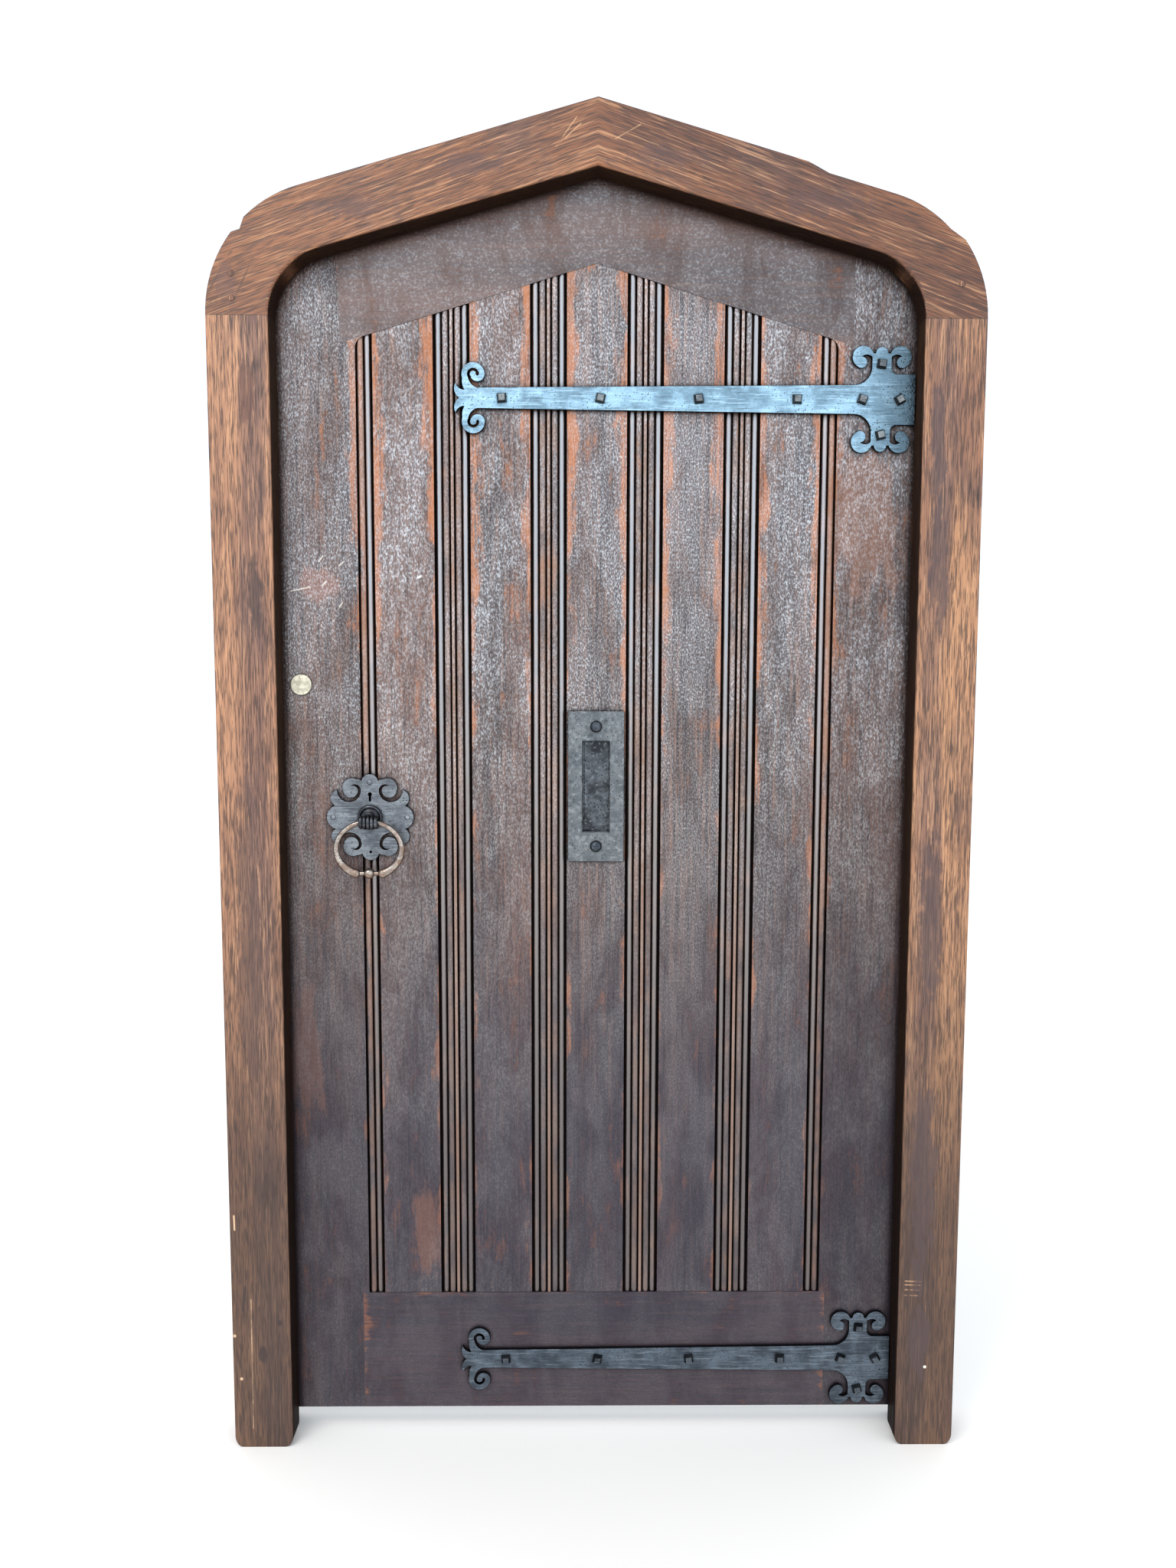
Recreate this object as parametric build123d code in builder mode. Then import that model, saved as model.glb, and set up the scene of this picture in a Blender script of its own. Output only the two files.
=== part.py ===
from build123d import *

import os
from math import acos, asin, cos, degrees, radians, sin, tan

# An arched oak door in its rebated oak frame. X runs across the doorway, Y from the outer face
# inwards, Z up. The origin is the middle of the doorway at the feet of the frame, in the plane
# where the leaf meets its stop. All sizes are in millimetres and degrees.

os.makedirs("parts", exist_ok=True)

# Doorway and frame
opening_width = 940.0
spring_height = 1712.0
shoulder_radius = 95.0
rake_angle = 16.0
jamb_width = 90.0
reveal_depth = 40.0
arris_wear = 5.0
foot_wear_width = 13.0
foot_wear_height = 18.0
tenon_width = 38.0
tenon_depth = 28.0
tenon_height = 68.0
peg_diameter = 9.0
peg_proud = 0.8
peg_length = 72.0
left_peg_rises = (23.0, 57.0)
right_peg_rises = (48.0,)

# Rough hewing of the head: a notch on the left shoulder, a waney stretch on the right rake
notch_depth = 7.0
notch_angles = (38.0, 41.5, 46.5)
wane_depth = 7.0
wane_shares = (0.70, 0.77)
wane_angles = (44.0, 36.0)

# Leaf
leaf_thickness = 45.0
leaf_foot = 40.0
stop_lap = 11.0
leaf_gap = 3.0
stile_width = 151.0
moulding_width = 27.2
moulding_depth = 7.0
bead_set = 1.5
reed_set = 1.0
reed_rise = 1.8
fillet_set = 0.4
fillet_rise = 0.7
stop_radius = 18.0
top_rail_depth = 119.0
rail_rake = 17.0
top_shoulder_step = 20.0
bottom_shoulder_step = 7.0
bottom_rail_height = 190.0
panel_count = 5
panel_thickness = 28.0
panel_set = 0.5
tongue_thickness = 10.0
tongue_reach = 5.0
tongue_front = 13.0
groove_play = 0.4
rail_tenon_reach = 55.0
rail_tenon_thickness = 15.0
top_tenon_height = 70.0
bottom_tenon_height = 120.0
stub_width = 24.0
stub_reach = 18.0

# Iron hinge fronts, one design used twice
strap_thickness = 5.0
top_strap_drop = 106.0
bottom_strap_height = 122.0
strap_stop_gap = 2.0
strap_tail_half = 14.5
strap_root_half = 21.0
crosshead_set = 52.0
waist_half = 14.0
waist_reach = 66.0
root_half = 36.0
root_curve = 26.0
end_curve = 9.0
volute_radius = 15.6
volute_hollow = 11.2
volute_hollow_set = 5.4
volute_hollow_drop = 7.6
volute_ball = 8.0
volute_ball_set = 2.4
volute_ball_drop = 7.6
volute_offset = 27.6
volute_rise = 61.0
lobe_radius = 9.0
lobe_rise = 66.0
scroll_radius = 16.8
scroll_stroke = 8.0
scroll_coil = 6.4
scroll_eye = 4.5
scroll_set = 4.0
scroll_rise = 34.0
bolt_head = 14.0
bolt_head_height = 6.5
bolt_taper = 22.0
bolt_shank = 7.0
bolt_reach = 24.0
bolt_play = 0.3
bar_bolt_count = 4
bar_bolt_set = 38.0
bar_bolt_shift = 2.9
crosshead_bolt_offset = 27.5
crosshead_bolt_rise = 51.0

# Butt hinges at the inner face of the hinge stile
hinge_height = 100.0
hinge_plate_depth = 33.0
hinge_plate_thickness = 2.5
knuckle_radius = 6.0
knuckle_count = 5
knuckle_play = 0.4
hinge_set = 0.3
hinge_pin_radius = 3.0
pin_play = 0.15
pin_tip_radius = 4.6
pin_tip_rise = 3.4
hinge_screw_shank = 4.0
hinge_screw_head = 8.0
hinge_screw_reach = 24.0
hinge_screw_pitch = 34.0

# Ring handle on the outer face
handle_set = 12.0
handle_z = 986.0
plate_thickness = 4.0
plate_half_width = 65.5
plate_half_height = 65.0
nail_radius = 4.2
nail_shank = 1.8
nail_reach = 16.0
nail_height = 2.2
nail_spread = 56.0
nail_rise = 53.0
keyhole_rise = 35.0
keyhole_radius = 3.2
keyhole_width = 3.6
keyhole_drop = 11.0
collar_radius = 18.5
collar_thickness = 4.6
handle_play = 0.3
neck_radius = 8.5
barrel_stand = 15.0
barrel_drop = 6.0
barrel_length = 28.0
barrel_radius = 11.2
barrel_groove = 1.2
barrel_rib_count = 5
ring_half_width = 49.4
ring_half_height = 41.0
ring_section = 4.0
ring_foot_section = 6.9
ring_foot_set = 20.5
ring_knob_radius = 7.3
ring_play = 0.75
bead_radius = 8.2
bead_core = 3.2
spindle_side = 8.0
spindle_bore = 7.0
knob_radius = 23.0
knob_length = 44.0
knob_socket = 18.0

# Rim lock on the inner face of the lock stile
lock_handle_reach = 30.0
lock_edge_gap = 1.0
lock_depth = 27.0
lock_wall = 2.5
lock_floor = 2.0
lock_top_rise = 74.0
lock_foot_drop = 38.0
lock_screw_inset = 5.5
lock_screw_share = 0.45
lock_screw_head = 4.0
lock_screw_shank = 2.0
lock_screw_reach = 16.0
bolt_depth = 12.0
bolt_stand = 4.5
slide_play = 0.4
latch_height = 22.0
latch_throw = 12.0
latch_bar_thickness = 6.0
latch_arm_width = 10.0
latch_lug_width = 7.0
latch_lug_rise = 19.0
latch_lug_gap = 0.6
follower_radius = 8.5
horn_width = 6.0
horn_reach = 24.0
dead_bolt_height = 16.0
dead_bolt_rise = 18.0
dead_bolt_inset = 6.0
talon_width = 9.0
talon_depth = 6.0
keep_length = 40.0
keep_gap = 5.0
keep_wall = 4.0
keep_mouth_play = 2.0
keep_depth = 24.0
keep_flange = 16.0
keep_flange_thickness = 3.0

# Letter plate on the middle panel
letter_z = 1033.0
letter_width = 84.0
letter_height = 228.0
letter_thickness = 4.0
letter_gap_width = 40.0
letter_gap_height = 137.0
letter_bevel = 1.5
slot_margin = 5.0
slot_end_margin = 8.0
stud_radius = 9.0
stud_shank = 3.0
stud_reach = 20.0
stud_rise = 91.0
stud_height = 7.2
flap_lap = 2.5
flap_thickness = 3.0
flap_back = 3.5
flap_play = 0.5
flap_pin_radius = 2.0
flap_knuckle_radius = 3.6
flap_lug_thickness = 3.5

# Brass key cover on the lock stile
cover_set = 38.0
cover_z = 1186.0
cover_radius = 15.5
cover_thickness = 2.4
cover_play = 0.3
cover_pin_rise = 10.8
cover_pin_radius = 1.5
cover_pin_head = 2.8
cover_pin_reach = 14.0
key_bore_radius = 3.5
key_bore_depth = 22.0

# One overrun serves every cut
overrun = 6.0
# Ease of a screw, bolt or peg in its bore
fit_play = 0.05

# Worked out from the sizes above
rake = radians(rake_angle)
half_opening = opening_width / 2
half_leaf = half_opening + stop_lap
half_rebate = half_leaf + leaf_gap
half_frame = half_opening + jamb_width
arch_centre = half_opening - shoulder_radius
bottom_rail_top = leaf_foot + bottom_rail_height
field_half = half_leaf - stile_width
moulding_half = field_half + moulding_width
top_shoulder = moulding_half + top_shoulder_step
bottom_shoulder = moulding_half + bottom_shoulder_step
muntin_width = 2 * moulding_width
muntin_count = panel_count - 1
panel_width = (2 * field_half - muntin_count * muntin_width) / panel_count
panel_pitch = panel_width + muntin_width
tenon_x = (half_rebate + half_frame) / 2
tenon_y = (leaf_thickness - reveal_depth) / 2
hinge_x = half_leaf + leaf_gap / 2
hinge_y = leaf_thickness + knuckle_radius + hinge_set
top_strap_height = spring_height - top_strap_drop
hinge_heights = (top_strap_height, bottom_strap_height)
strap_end_x = half_opening - strap_stop_gap
crosshead_x = half_opening - crosshead_set
bar_pitch_share = 1.013
bar_bolt_pitch = bar_pitch_share * panel_pitch
bar_bolt_x = panel_pitch + panel_width / 2 - field_half + bar_bolt_shift
strap_tail_x = bar_bolt_x - bar_bolt_set
handle_x = -field_half - handle_set
cover_x = cover_set - half_leaf
keyhole_z = handle_z + keyhole_rise
lock_left = -half_leaf + lock_edge_gap
lock_right = handle_x + lock_handle_reach
lock_length = lock_right - lock_left
lock_bottom = handle_z - lock_foot_drop
lock_top = handle_z + lock_top_rise
lock_back = leaf_thickness + lock_depth
bolt_front = leaf_thickness + bolt_stand
bolt_back = bolt_front + bolt_depth
dead_bolt_z = keyhole_z + dead_bolt_rise


def rail_edge(x):
    """Height of the top rail's lower edge at a distance from the middle."""
    return arch_apex(0) - top_rail_depth - abs(x) * tan(radians(rail_rake))


def arch_knee(offset):
    """Where the rounded shoulder meets the straight rake, for the arch set out from the stop."""
    radius = shoulder_radius + offset
    return arch_centre + radius * sin(rake), spring_height + radius * cos(rake)


def arch_apex(offset):
    """Height of the point of the arch, set out from the stop."""
    knee_x, knee_z = arch_knee(offset)
    return knee_z + knee_x * tan(rake)


def arch_face(offset, foot, mode=Mode.ADD):
    """The doorway's outline, set out from the stop and closed at a foot line."""
    radius = shoulder_radius + offset
    side = arch_centre + radius
    knee_x, knee_z = arch_knee(offset)
    apex = (0, arch_apex(offset))
    turn = 90 - rake_angle
    with BuildLine() as outline:
        Line((-side, foot), (-side, spring_height))
        CenterArc((-arch_centre, spring_height), radius, 180, -turn)
        Line((-knee_x, knee_z), apex)
        Line(apex, (knee_x, knee_z))
        CenterArc((arch_centre, spring_height), radius, turn, -turn)
        Line((side, spring_height), (side, foot))
        Line((side, foot), (-side, foot))
    make_face(outline.edges(), mode=mode)


def shoulder_point(side, angle, inset):
    """A point on the head's outer shoulder, sunk by an inset."""
    radius = shoulder_radius + jamb_width - inset
    x = arch_centre + radius * cos(radians(angle))
    return side * x, spring_height + radius * sin(radians(angle))


def head_face():
    """The head's outer outline with its notch and its waney stretch."""
    radius = shoulder_radius + jamb_width
    knee_x, knee_z = arch_knee(jamb_width)
    low_knee = arch_knee(jamb_width - wane_depth)
    apex_z = arch_apex(jamb_width)
    low_apex_z = arch_apex(jamb_width - wane_depth)
    turn = 90 - rake_angle
    notch_low, notch_floor, notch_high = notch_angles
    wane_in, wane_out = wane_angles
    wane_x = [share * knee_x for share in wane_shares]
    wane_start = (wane_x[0], apex_z - wane_x[0] * tan(rake))
    wane_low = (wane_x[1], low_apex_z - wane_x[1] * tan(rake))
    left_centre = (-arch_centre, spring_height)
    right_centre = (arch_centre, spring_height)
    with BuildLine() as outline:
        CenterArc(left_centre, radius, 180, -notch_low)
        Polyline(
            shoulder_point(-1, notch_low, 0),
            shoulder_point(-1, notch_floor, notch_depth),
            shoulder_point(-1, notch_high, 0),
        )
        CenterArc(left_centre, radius, 180 - notch_high, notch_high - turn)
        Polyline((-knee_x, knee_z), (0, apex_z), wane_start, wane_low, low_knee)
        CenterArc(right_centre, radius - wane_depth, turn, wane_in - turn)
        Line(shoulder_point(1, wane_in, wane_depth), shoulder_point(1, wane_out, 0))
        CenterArc(right_centre, radius, wane_out, -wane_out)
        Line((half_frame, spring_height), (-half_frame, spring_height))
    make_face(outline.edges())


def on_stop_line(point):
    """Whether a point of the head lies on the stop's arris."""
    x = abs(point.X)
    knee_x = arch_knee(0)[0]
    across = x - arch_centre
    rise = point.Z - spring_height
    if x > knee_x:
        distance = (across**2 + rise**2) ** 0.5 - shoulder_radius
    else:
        distance = (point.Z - arch_apex(0) + x * tan(rake)) * cos(rake)
    return abs(distance) < arris_wear / 2


def peg_places():
    """Places of the pegs through the head's two joints."""
    left = [(-tenon_x, spring_height + rise) for rise in left_peg_rises]
    right = [(tenon_x, spring_height + rise) for rise in right_peg_rises]
    return left + right


def cut_rounds(places, radius, front, back):
    """Bore round holes along Y at the given places, between two depths."""
    with BuildSketch(Plane.XZ.offset(-front)) as bores:
        with Locations(*places):
            Circle(radius + fit_play)
    extrude(bores.sketch, amount=front - back, mode=Mode.SUBTRACT)


def block(low, high, mode=Mode.ADD):
    """A rectangular block between two corners."""
    size = [b - a for a, b in zip(low, high)]
    middle = [(a + b) / 2 for a, b in zip(low, high)]
    with Locations(tuple(middle)):
        Box(*size, mode=mode)


def finish(piece, name):
    """Label a finished piece and write it."""
    piece.part.label = name
    export_step(piece.part, f"parts/{name}.step")


def hinge_screw_places():
    """Heights of the hinge screws of both hinges."""
    return [h + step * hinge_screw_pitch for h in hinge_heights for step in (-1, 0, 1)]


hinge_screw_y = leaf_thickness - hinge_plate_depth / 2


def hinge_recesses(face_x, side):
    """Housings for the two hinge plates and bores for their screws, in a face across X."""
    for height in hinge_heights:
        low = (min(face_x, face_x + side * hinge_plate_thickness), leaf_thickness - hinge_plate_depth,
               height - hinge_height / 2)
        high = (max(face_x, face_x + side * hinge_plate_thickness), leaf_thickness + overrun,
                height + hinge_height / 2)
        block(low, high, Mode.SUBTRACT)
    places = [(hinge_screw_y, height) for height in hinge_screw_places()]
    with BuildSketch(Plane.YZ.offset(face_x)) as bores:
        with Locations(*places):
            Circle(hinge_screw_shank / 2 + fit_play)
    extrude(bores.sketch, amount=side * hinge_screw_reach, mode=Mode.SUBTRACT)


def worn_foot(edge_x, inward):
    """Waste outside the rounded corner of a jamb's foot."""
    middle_x = edge_x + inward * (foot_wear_width - overrun) / 2
    with Locations((middle_x, (foot_wear_height - overrun) / 2)):
        Rectangle(foot_wear_width + overrun, foot_wear_height + overrun)
    with Locations((edge_x + inward * foot_wear_width, foot_wear_height)):
        Ellipse(foot_wear_width, foot_wear_height, mode=Mode.SUBTRACT)


# Jambs: rebated posts with worn arrises, worn feet and a tenon for the head
keep_right = lock_left - keep_gap
keep_left = keep_right - keep_length
keep_bottom = dead_bolt_z - dead_bolt_height / 2 - keep_mouth_play - keep_wall
keep_top = dead_bolt_z + dead_bolt_height / 2 + keep_mouth_play + keep_wall
keep_screws = [
    ((keep_left + keep_right) / 2, keep_bottom - keep_flange / 2),
    ((keep_left + keep_right) / 2, keep_top + keep_flange / 2),
]
for side, name in ((-1, "jamb_left"), (1, "jamb_right")):
    with BuildPart() as jamb:
        with BuildSketch(Plane.XY) as jamb_section:
            with BuildLine():
                Polyline(
                    (side * half_frame, -reveal_depth),
                    (side * half_opening, -reveal_depth),
                    (side * half_opening, 0),
                    (side * half_rebate, 0),
                    (side * half_rebate, leaf_thickness),
                    (side * half_frame, leaf_thickness),
                    close=True,
                )
            make_face()
            worn_corner = jamb_section.vertices().sort_by_distance((side * half_opening, -reveal_depth, 0))[0]
            fillet(worn_corner, arris_wear)
        extrude(amount=spring_height)
        with BuildSketch(Plane.XZ.offset(reveal_depth)):
            worn_foot(side * half_frame, -side)
            worn_foot(side * half_opening, side)
        extrude(amount=-reveal_depth, mode=Mode.SUBTRACT)
        with Locations((side * tenon_x, tenon_y, spring_height + tenon_height / 2)):
            Box(tenon_width, tenon_depth, tenon_height)
        cut_rounds(peg_places(), peg_diameter / 2, -reveal_depth, leaf_thickness)
        if side > 0:
            hinge_recesses(half_rebate, 1)
        else:
            cut_rounds(keep_screws, lock_screw_shank, leaf_thickness - lock_screw_reach, leaf_thickness)
    finish(jamb, name)

# Head: one wide plank sawn to the arch, rebated behind, mortised for the jambs
with BuildPart() as head:
    with BuildSketch(Plane.XZ):
        head_face()
        arch_face(0, spring_height - overrun, Mode.SUBTRACT)
    extrude(amount=reveal_depth)
    with BuildSketch(Plane.XZ):
        head_face()
        arch_face(half_rebate - half_opening, spring_height - overrun, Mode.SUBTRACT)
    extrude(amount=-leaf_thickness)
    front_edges = head.faces().sort_by(Axis.Y)[0].edges()
    fillet([edge for edge in front_edges if on_stop_line(edge @ 0.5)], arris_wear)
    for side in (-1, 1):
        with Locations((side * tenon_x, tenon_y, spring_height + tenon_height / 2)):
            Box(tenon_width, tenon_depth, tenon_height, mode=Mode.SUBTRACT)
    cut_rounds(peg_places(), peg_diameter / 2, -reveal_depth, peg_length - reveal_depth)
finish(head, "head")

# Oak pegs that pin the head to the jamb tenons
with BuildPart() as head_pegs:
    with BuildSketch(Plane.XZ.offset(reveal_depth + peg_proud)):
        with Locations(*peg_places()):
            Circle(peg_diameter / 2)
    extrude(amount=-(peg_length + peg_proud))
    chamfer(head_pegs.faces().group_by(Axis.Y)[0].edges(), peg_proud)
finish(head_pegs, "head_pegs")


# Moulding of the leaf: quirk, bead, quirk, reed, quirk, as shares of the moulding's width
quirk_share = 0.12
bead_share = 0.33
bead_quirk_share = 0.07
reed_share = 0.30
reed_quirk_share = 0.10
bead_start = quirk_share * moulding_width
bead_end = bead_start + bead_share * moulding_width
reed_start = bead_end + bead_quirk_share * moulding_width
reed_end = reed_start + reed_share * moulding_width
moulding_end = reed_end + reed_quirk_share * moulding_width


def moulding_cut(edge_x, away):
    """Section cut from the face to leave a bead and a flat reed, starting at a panel's edge."""
    bead_half = (bead_end - bead_start) / 2
    reed_half = (reed_end - reed_start) / 2
    reed_side = reed_set + reed_rise

    def at(reach, depth):
        return edge_x + away * reach, depth

    with BuildLine() as section:
        Polyline(
            at(0, -overrun),
            at(0, moulding_depth),
            at(bead_start, moulding_depth),
            at(bead_start, bead_set + bead_half),
        )
        ThreePointArc(
            at(bead_start, bead_set + bead_half),
            at(bead_start + bead_half, bead_set),
            at(bead_end, bead_set + bead_half),
        )
        Polyline(
            at(bead_end, bead_set + bead_half),
            at(bead_end, moulding_depth),
            at(reed_start, moulding_depth),
            at(reed_start, reed_side),
        )
        ThreePointArc(
            at(reed_start, reed_side),
            at(reed_start + reed_half, reed_set),
            at(reed_end, reed_side),
        )
        Polyline(
            at(reed_end, reed_side),
            at(reed_end, moulding_depth),
            at(moulding_end, moulding_depth),
            at(moulding_end, -overrun),
            at(0, -overrun),
        )
    make_face(section.edges())


def fillet_cut(middle):
    """Section cut from the face to round the narrow fillet in the middle of a muntin."""
    half = moulding_width - moulding_end
    side_depth = fillet_set + fillet_rise
    with BuildLine() as section:
        ThreePointArc((middle - half, side_depth), (middle, fillet_set), (middle + half, side_depth))
        Polyline(
            (middle + half, side_depth),
            (middle + half, -overrun),
            (middle - half, -overrun),
            (middle - half, side_depth),
        )
    make_face(section.edges())


def stop_corner(side):
    """Waste outside the rounded corner where a stile's moulding stops under the top rail."""
    outer = moulding_end + field_half
    corner_z = rail_edge(outer)
    half_angle = radians(90 + rail_rake) / 2
    reach = stop_radius / tan(half_angle)
    tip_x = outer - reach * cos(radians(rail_rake))
    tip_z = corner_z + reach * sin(radians(rail_rake))
    Polygon(
        (side * (outer + overrun), corner_z - reach),
        (side * (outer - stop_radius), corner_z - reach),
        (side * tip_x, tip_z),
        (side * tip_x, tip_z + stop_radius),
        (side * (outer + overrun), tip_z + stop_radius),
        align=None,
    )
    with Locations((side * (outer - stop_radius), corner_z - reach)):
        Circle(stop_radius, mode=Mode.SUBTRACT)


def cut_above_rail():
    """Cut away what stands above the top rail's lower edge."""
    reach = half_leaf
    crown = arch_apex(jamb_width)
    with BuildSketch(Plane.XZ) as waste:
        Polygon(
            (-reach, rail_edge(reach)),
            (0, rail_edge(0)),
            (reach, rail_edge(reach)),
            (reach, crown),
            (-reach, crown),
            align=None,
        )
    extrude(waste.sketch, amount=2 * leaf_thickness, both=True, mode=Mode.SUBTRACT)


def strap_bolt_places(height):
    """Places of one hinge front's bolts, along its bar and on its crosshead."""
    bar = [(bar_bolt_x + step * bar_bolt_pitch, height) for step in range(bar_bolt_count)]
    head_bolts = [
        (crosshead_x - crosshead_bolt_offset, height),
        (crosshead_x + crosshead_bolt_offset, height),
        (crosshead_x, height - crosshead_bolt_rise),
        (crosshead_x, height + crosshead_bolt_rise),
    ]
    return bar + head_bolts


strap_bolts = strap_bolt_places(top_strap_height) + strap_bolt_places(bottom_strap_height)


def bore_strap_bolts(left, right, bottom, top):
    """Bore for the bolts that meet a piece's face."""
    within_x = [(x, z) for x, z in strap_bolts if left - bolt_shank < x < right + bolt_shank]
    places = [(x, z) for x, z in within_x if bottom - bolt_shank < z < top + bolt_shank]
    if places:
        cut_rounds(places, bolt_shank / 2, -overrun, bolt_reach)


def keyhole(mode=Mode.ADD):
    """Outline of the keyhole: a round eye over a narrow slot."""
    with Locations((handle_x, keyhole_z)):
        Circle(keyhole_radius, mode=mode)
    with Locations((handle_x, keyhole_z - keyhole_drop / 2)):
        Rectangle(keyhole_width, keyhole_drop, mode=mode)


def cut_keyhole(front, back):
    """Cut the keyhole along Y between two depths."""
    with BuildSketch(Plane.XZ.offset(-front)) as opening:
        keyhole()
    extrude(opening.sketch, amount=front - back, mode=Mode.SUBTRACT)


nail_places = [
    (handle_x, handle_z + nail_rise),
    (handle_x - nail_spread, handle_z),
    (handle_x + nail_spread, handle_z),
]
empty_nail_place = (handle_x, handle_z - nail_rise)
lock_screws = [
    (lock_left + lock_screw_inset, lock_bottom + lock_screw_inset),
    (lock_left + lock_screw_inset, lock_top - lock_screw_inset),
    (lock_left + lock_screw_share * lock_length, lock_bottom + lock_screw_inset),
    (lock_left + lock_screw_share * lock_length, lock_top - lock_screw_inset),
]
cover_pin_place = (cover_x, cover_z + cover_pin_rise)
top_tenon_bottom = rail_edge(top_shoulder) + stub_reach
bottom_tenon_bottom = leaf_foot + (bottom_rail_height - bottom_tenon_height) / 2
rail_tenon_front = (leaf_thickness - rail_tenon_thickness) / 2
rail_tenon_back = rail_tenon_front + rail_tenon_thickness
tongue_back = tongue_front + tongue_thickness


def rail_tenon(side, shoulder, bottom, height, mode=Mode.ADD):
    """A rail's tenon, or the mortise that takes it."""
    inner, outer = sorted((side * shoulder, side * (shoulder + rail_tenon_reach)))
    block((inner, rail_tenon_front, bottom), (outer, rail_tenon_back, bottom + height), mode)


def panel_groove(edge_x, away):
    """A groove along a stile or muntin for a panel's tongue."""
    low, high = sorted((edge_x - away * overrun, edge_x + away * (tongue_reach + groove_play)))
    block(
        (low, tongue_front - groove_play, bottom_rail_top),
        (high, tongue_back + groove_play, rail_edge(0)),
        Mode.SUBTRACT,
    )


# Stiles: full height to the arch, moulded on the inner edge
for side, name in ((-1, "lock_stile"), (1, "hinge_stile")):
    crown = arch_apex(jamb_width)
    outer_x = side * (half_leaf + overrun)
    with BuildPart() as moulding_run:
        with BuildSketch(Plane.XY.offset(bottom_rail_top)):
            moulding_cut(side * field_half, side)
        extrude(amount=rail_edge(field_half) - bottom_rail_top)
        with BuildSketch(Plane.XZ.offset(2 * overrun)):
            stop_corner(side)
        extrude(amount=-(2 * overrun + leaf_thickness), mode=Mode.SUBTRACT)
    with BuildPart() as stile:
        with BuildSketch(Plane.XZ):
            arch_face(stop_lap, leaf_foot)
            Polygon(
                (outer_x, leaf_foot - overrun),
                (side * bottom_shoulder, leaf_foot - overrun),
                (side * bottom_shoulder, bottom_rail_top),
                (side * field_half, bottom_rail_top),
                (side * field_half, rail_edge(field_half)),
                (side * top_shoulder, rail_edge(top_shoulder)),
                (side * top_shoulder, crown),
                (outer_x, crown),
                align=None,
                mode=Mode.INTERSECT,
            )
        extrude(amount=-leaf_thickness)
        add(moulding_run.part, mode=Mode.SUBTRACT)
        panel_groove(side * field_half, side)
        rail_tenon(side, top_shoulder, top_tenon_bottom, top_tenon_height, Mode.SUBTRACT)
        rail_tenon(side, bottom_shoulder, bottom_tenon_bottom, bottom_tenon_height, Mode.SUBTRACT)
        if side > 0:
            bore_strap_bolts(bottom_shoulder, half_leaf, leaf_foot, crown)
            hinge_recesses(half_leaf, -1)
        else:
            cut_rounds([(handle_x, handle_z)], spindle_bore, -overrun, leaf_thickness + overrun)
            cut_keyhole(-overrun, leaf_thickness + overrun)
            cut_rounds(nail_places[:2], nail_shank, -overrun, nail_reach)
            cut_rounds(lock_screws, lock_screw_shank, leaf_thickness - lock_screw_reach, leaf_thickness)
            cut_rounds([cover_pin_place], cover_pin_radius, -overrun, cover_pin_reach)
            cut_rounds([(cover_x, cover_z)], key_bore_radius, -overrun, key_bore_depth)
    finish(stile, name)

# Muntins: moulded on both edges round a narrow fillet, stub-tenoned into both rails
muntin_lefts = [
    -field_half + (step + 1) * panel_width + step * muntin_width for step in range(muntin_count)
]


def muntin_stubs(left, play, mode=Mode.ADD):
    """A muntin's two stub tenons, or the mortises that take them."""
    middle = left + muntin_width / 2
    low_x = middle - stub_width / 2 - play
    high_x = middle + stub_width / 2 + play
    front = rail_tenon_front - play
    back = rail_tenon_back + play
    foot = bottom_rail_top - stub_reach - play
    crest = rail_edge(middle)
    block((low_x, front, foot), (high_x, back, bottom_rail_top), mode)
    block((low_x, front, crest - stub_width / 2), (high_x, back, crest + stub_reach + play), mode)


for step, left in enumerate(muntin_lefts):
    right = left + muntin_width
    with BuildPart() as muntin:
        block((left, 0, bottom_rail_top), (right, leaf_thickness, rail_edge(0)))
        with BuildSketch(Plane.XY.offset(bottom_rail_top)):
            moulding_cut(left, 1)
            moulding_cut(right, -1)
            fillet_cut(left + muntin_width / 2)
        extrude(amount=rail_edge(0) - bottom_rail_top, mode=Mode.SUBTRACT)
        panel_groove(left, 1)
        panel_groove(right, -1)
        cut_above_rail()
        muntin_stubs(left, 0)
    finish(muntin, f"muntin_{step + 1}")

# Top rail: follows the arch above and a flatter rake below
with BuildPart() as top_rail:
    crown = arch_apex(jamb_width)
    with BuildSketch(Plane.XZ):
        arch_face(stop_lap, leaf_foot)
        Polygon(
            (-top_shoulder, rail_edge(top_shoulder)),
            (0, rail_edge(0)),
            (top_shoulder, rail_edge(top_shoulder)),
            (top_shoulder, crown),
            (-top_shoulder, crown),
            align=None,
            mode=Mode.INTERSECT,
        )
    extrude(amount=-leaf_thickness)
    for left in muntin_lefts:
        muntin_stubs(left, groove_play, Mode.SUBTRACT)
    for side in (-1, 1):
        rail_tenon(side, top_shoulder, top_tenon_bottom, top_tenon_height)
finish(top_rail, "top_rail")

# Bottom rail
with BuildPart() as bottom_rail:
    block((-bottom_shoulder, 0, leaf_foot), (bottom_shoulder, leaf_thickness, bottom_rail_top))
    for left in muntin_lefts:
        muntin_stubs(left, groove_play, Mode.SUBTRACT)
    for side in (-1, 1):
        rail_tenon(side, bottom_shoulder, bottom_tenon_bottom, bottom_tenon_height)
    tenon_end = bottom_shoulder + rail_tenon_reach
    bore_strap_bolts(-tenon_end, tenon_end, leaf_foot, bottom_rail_top)
finish(bottom_rail, "bottom_rail")

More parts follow.
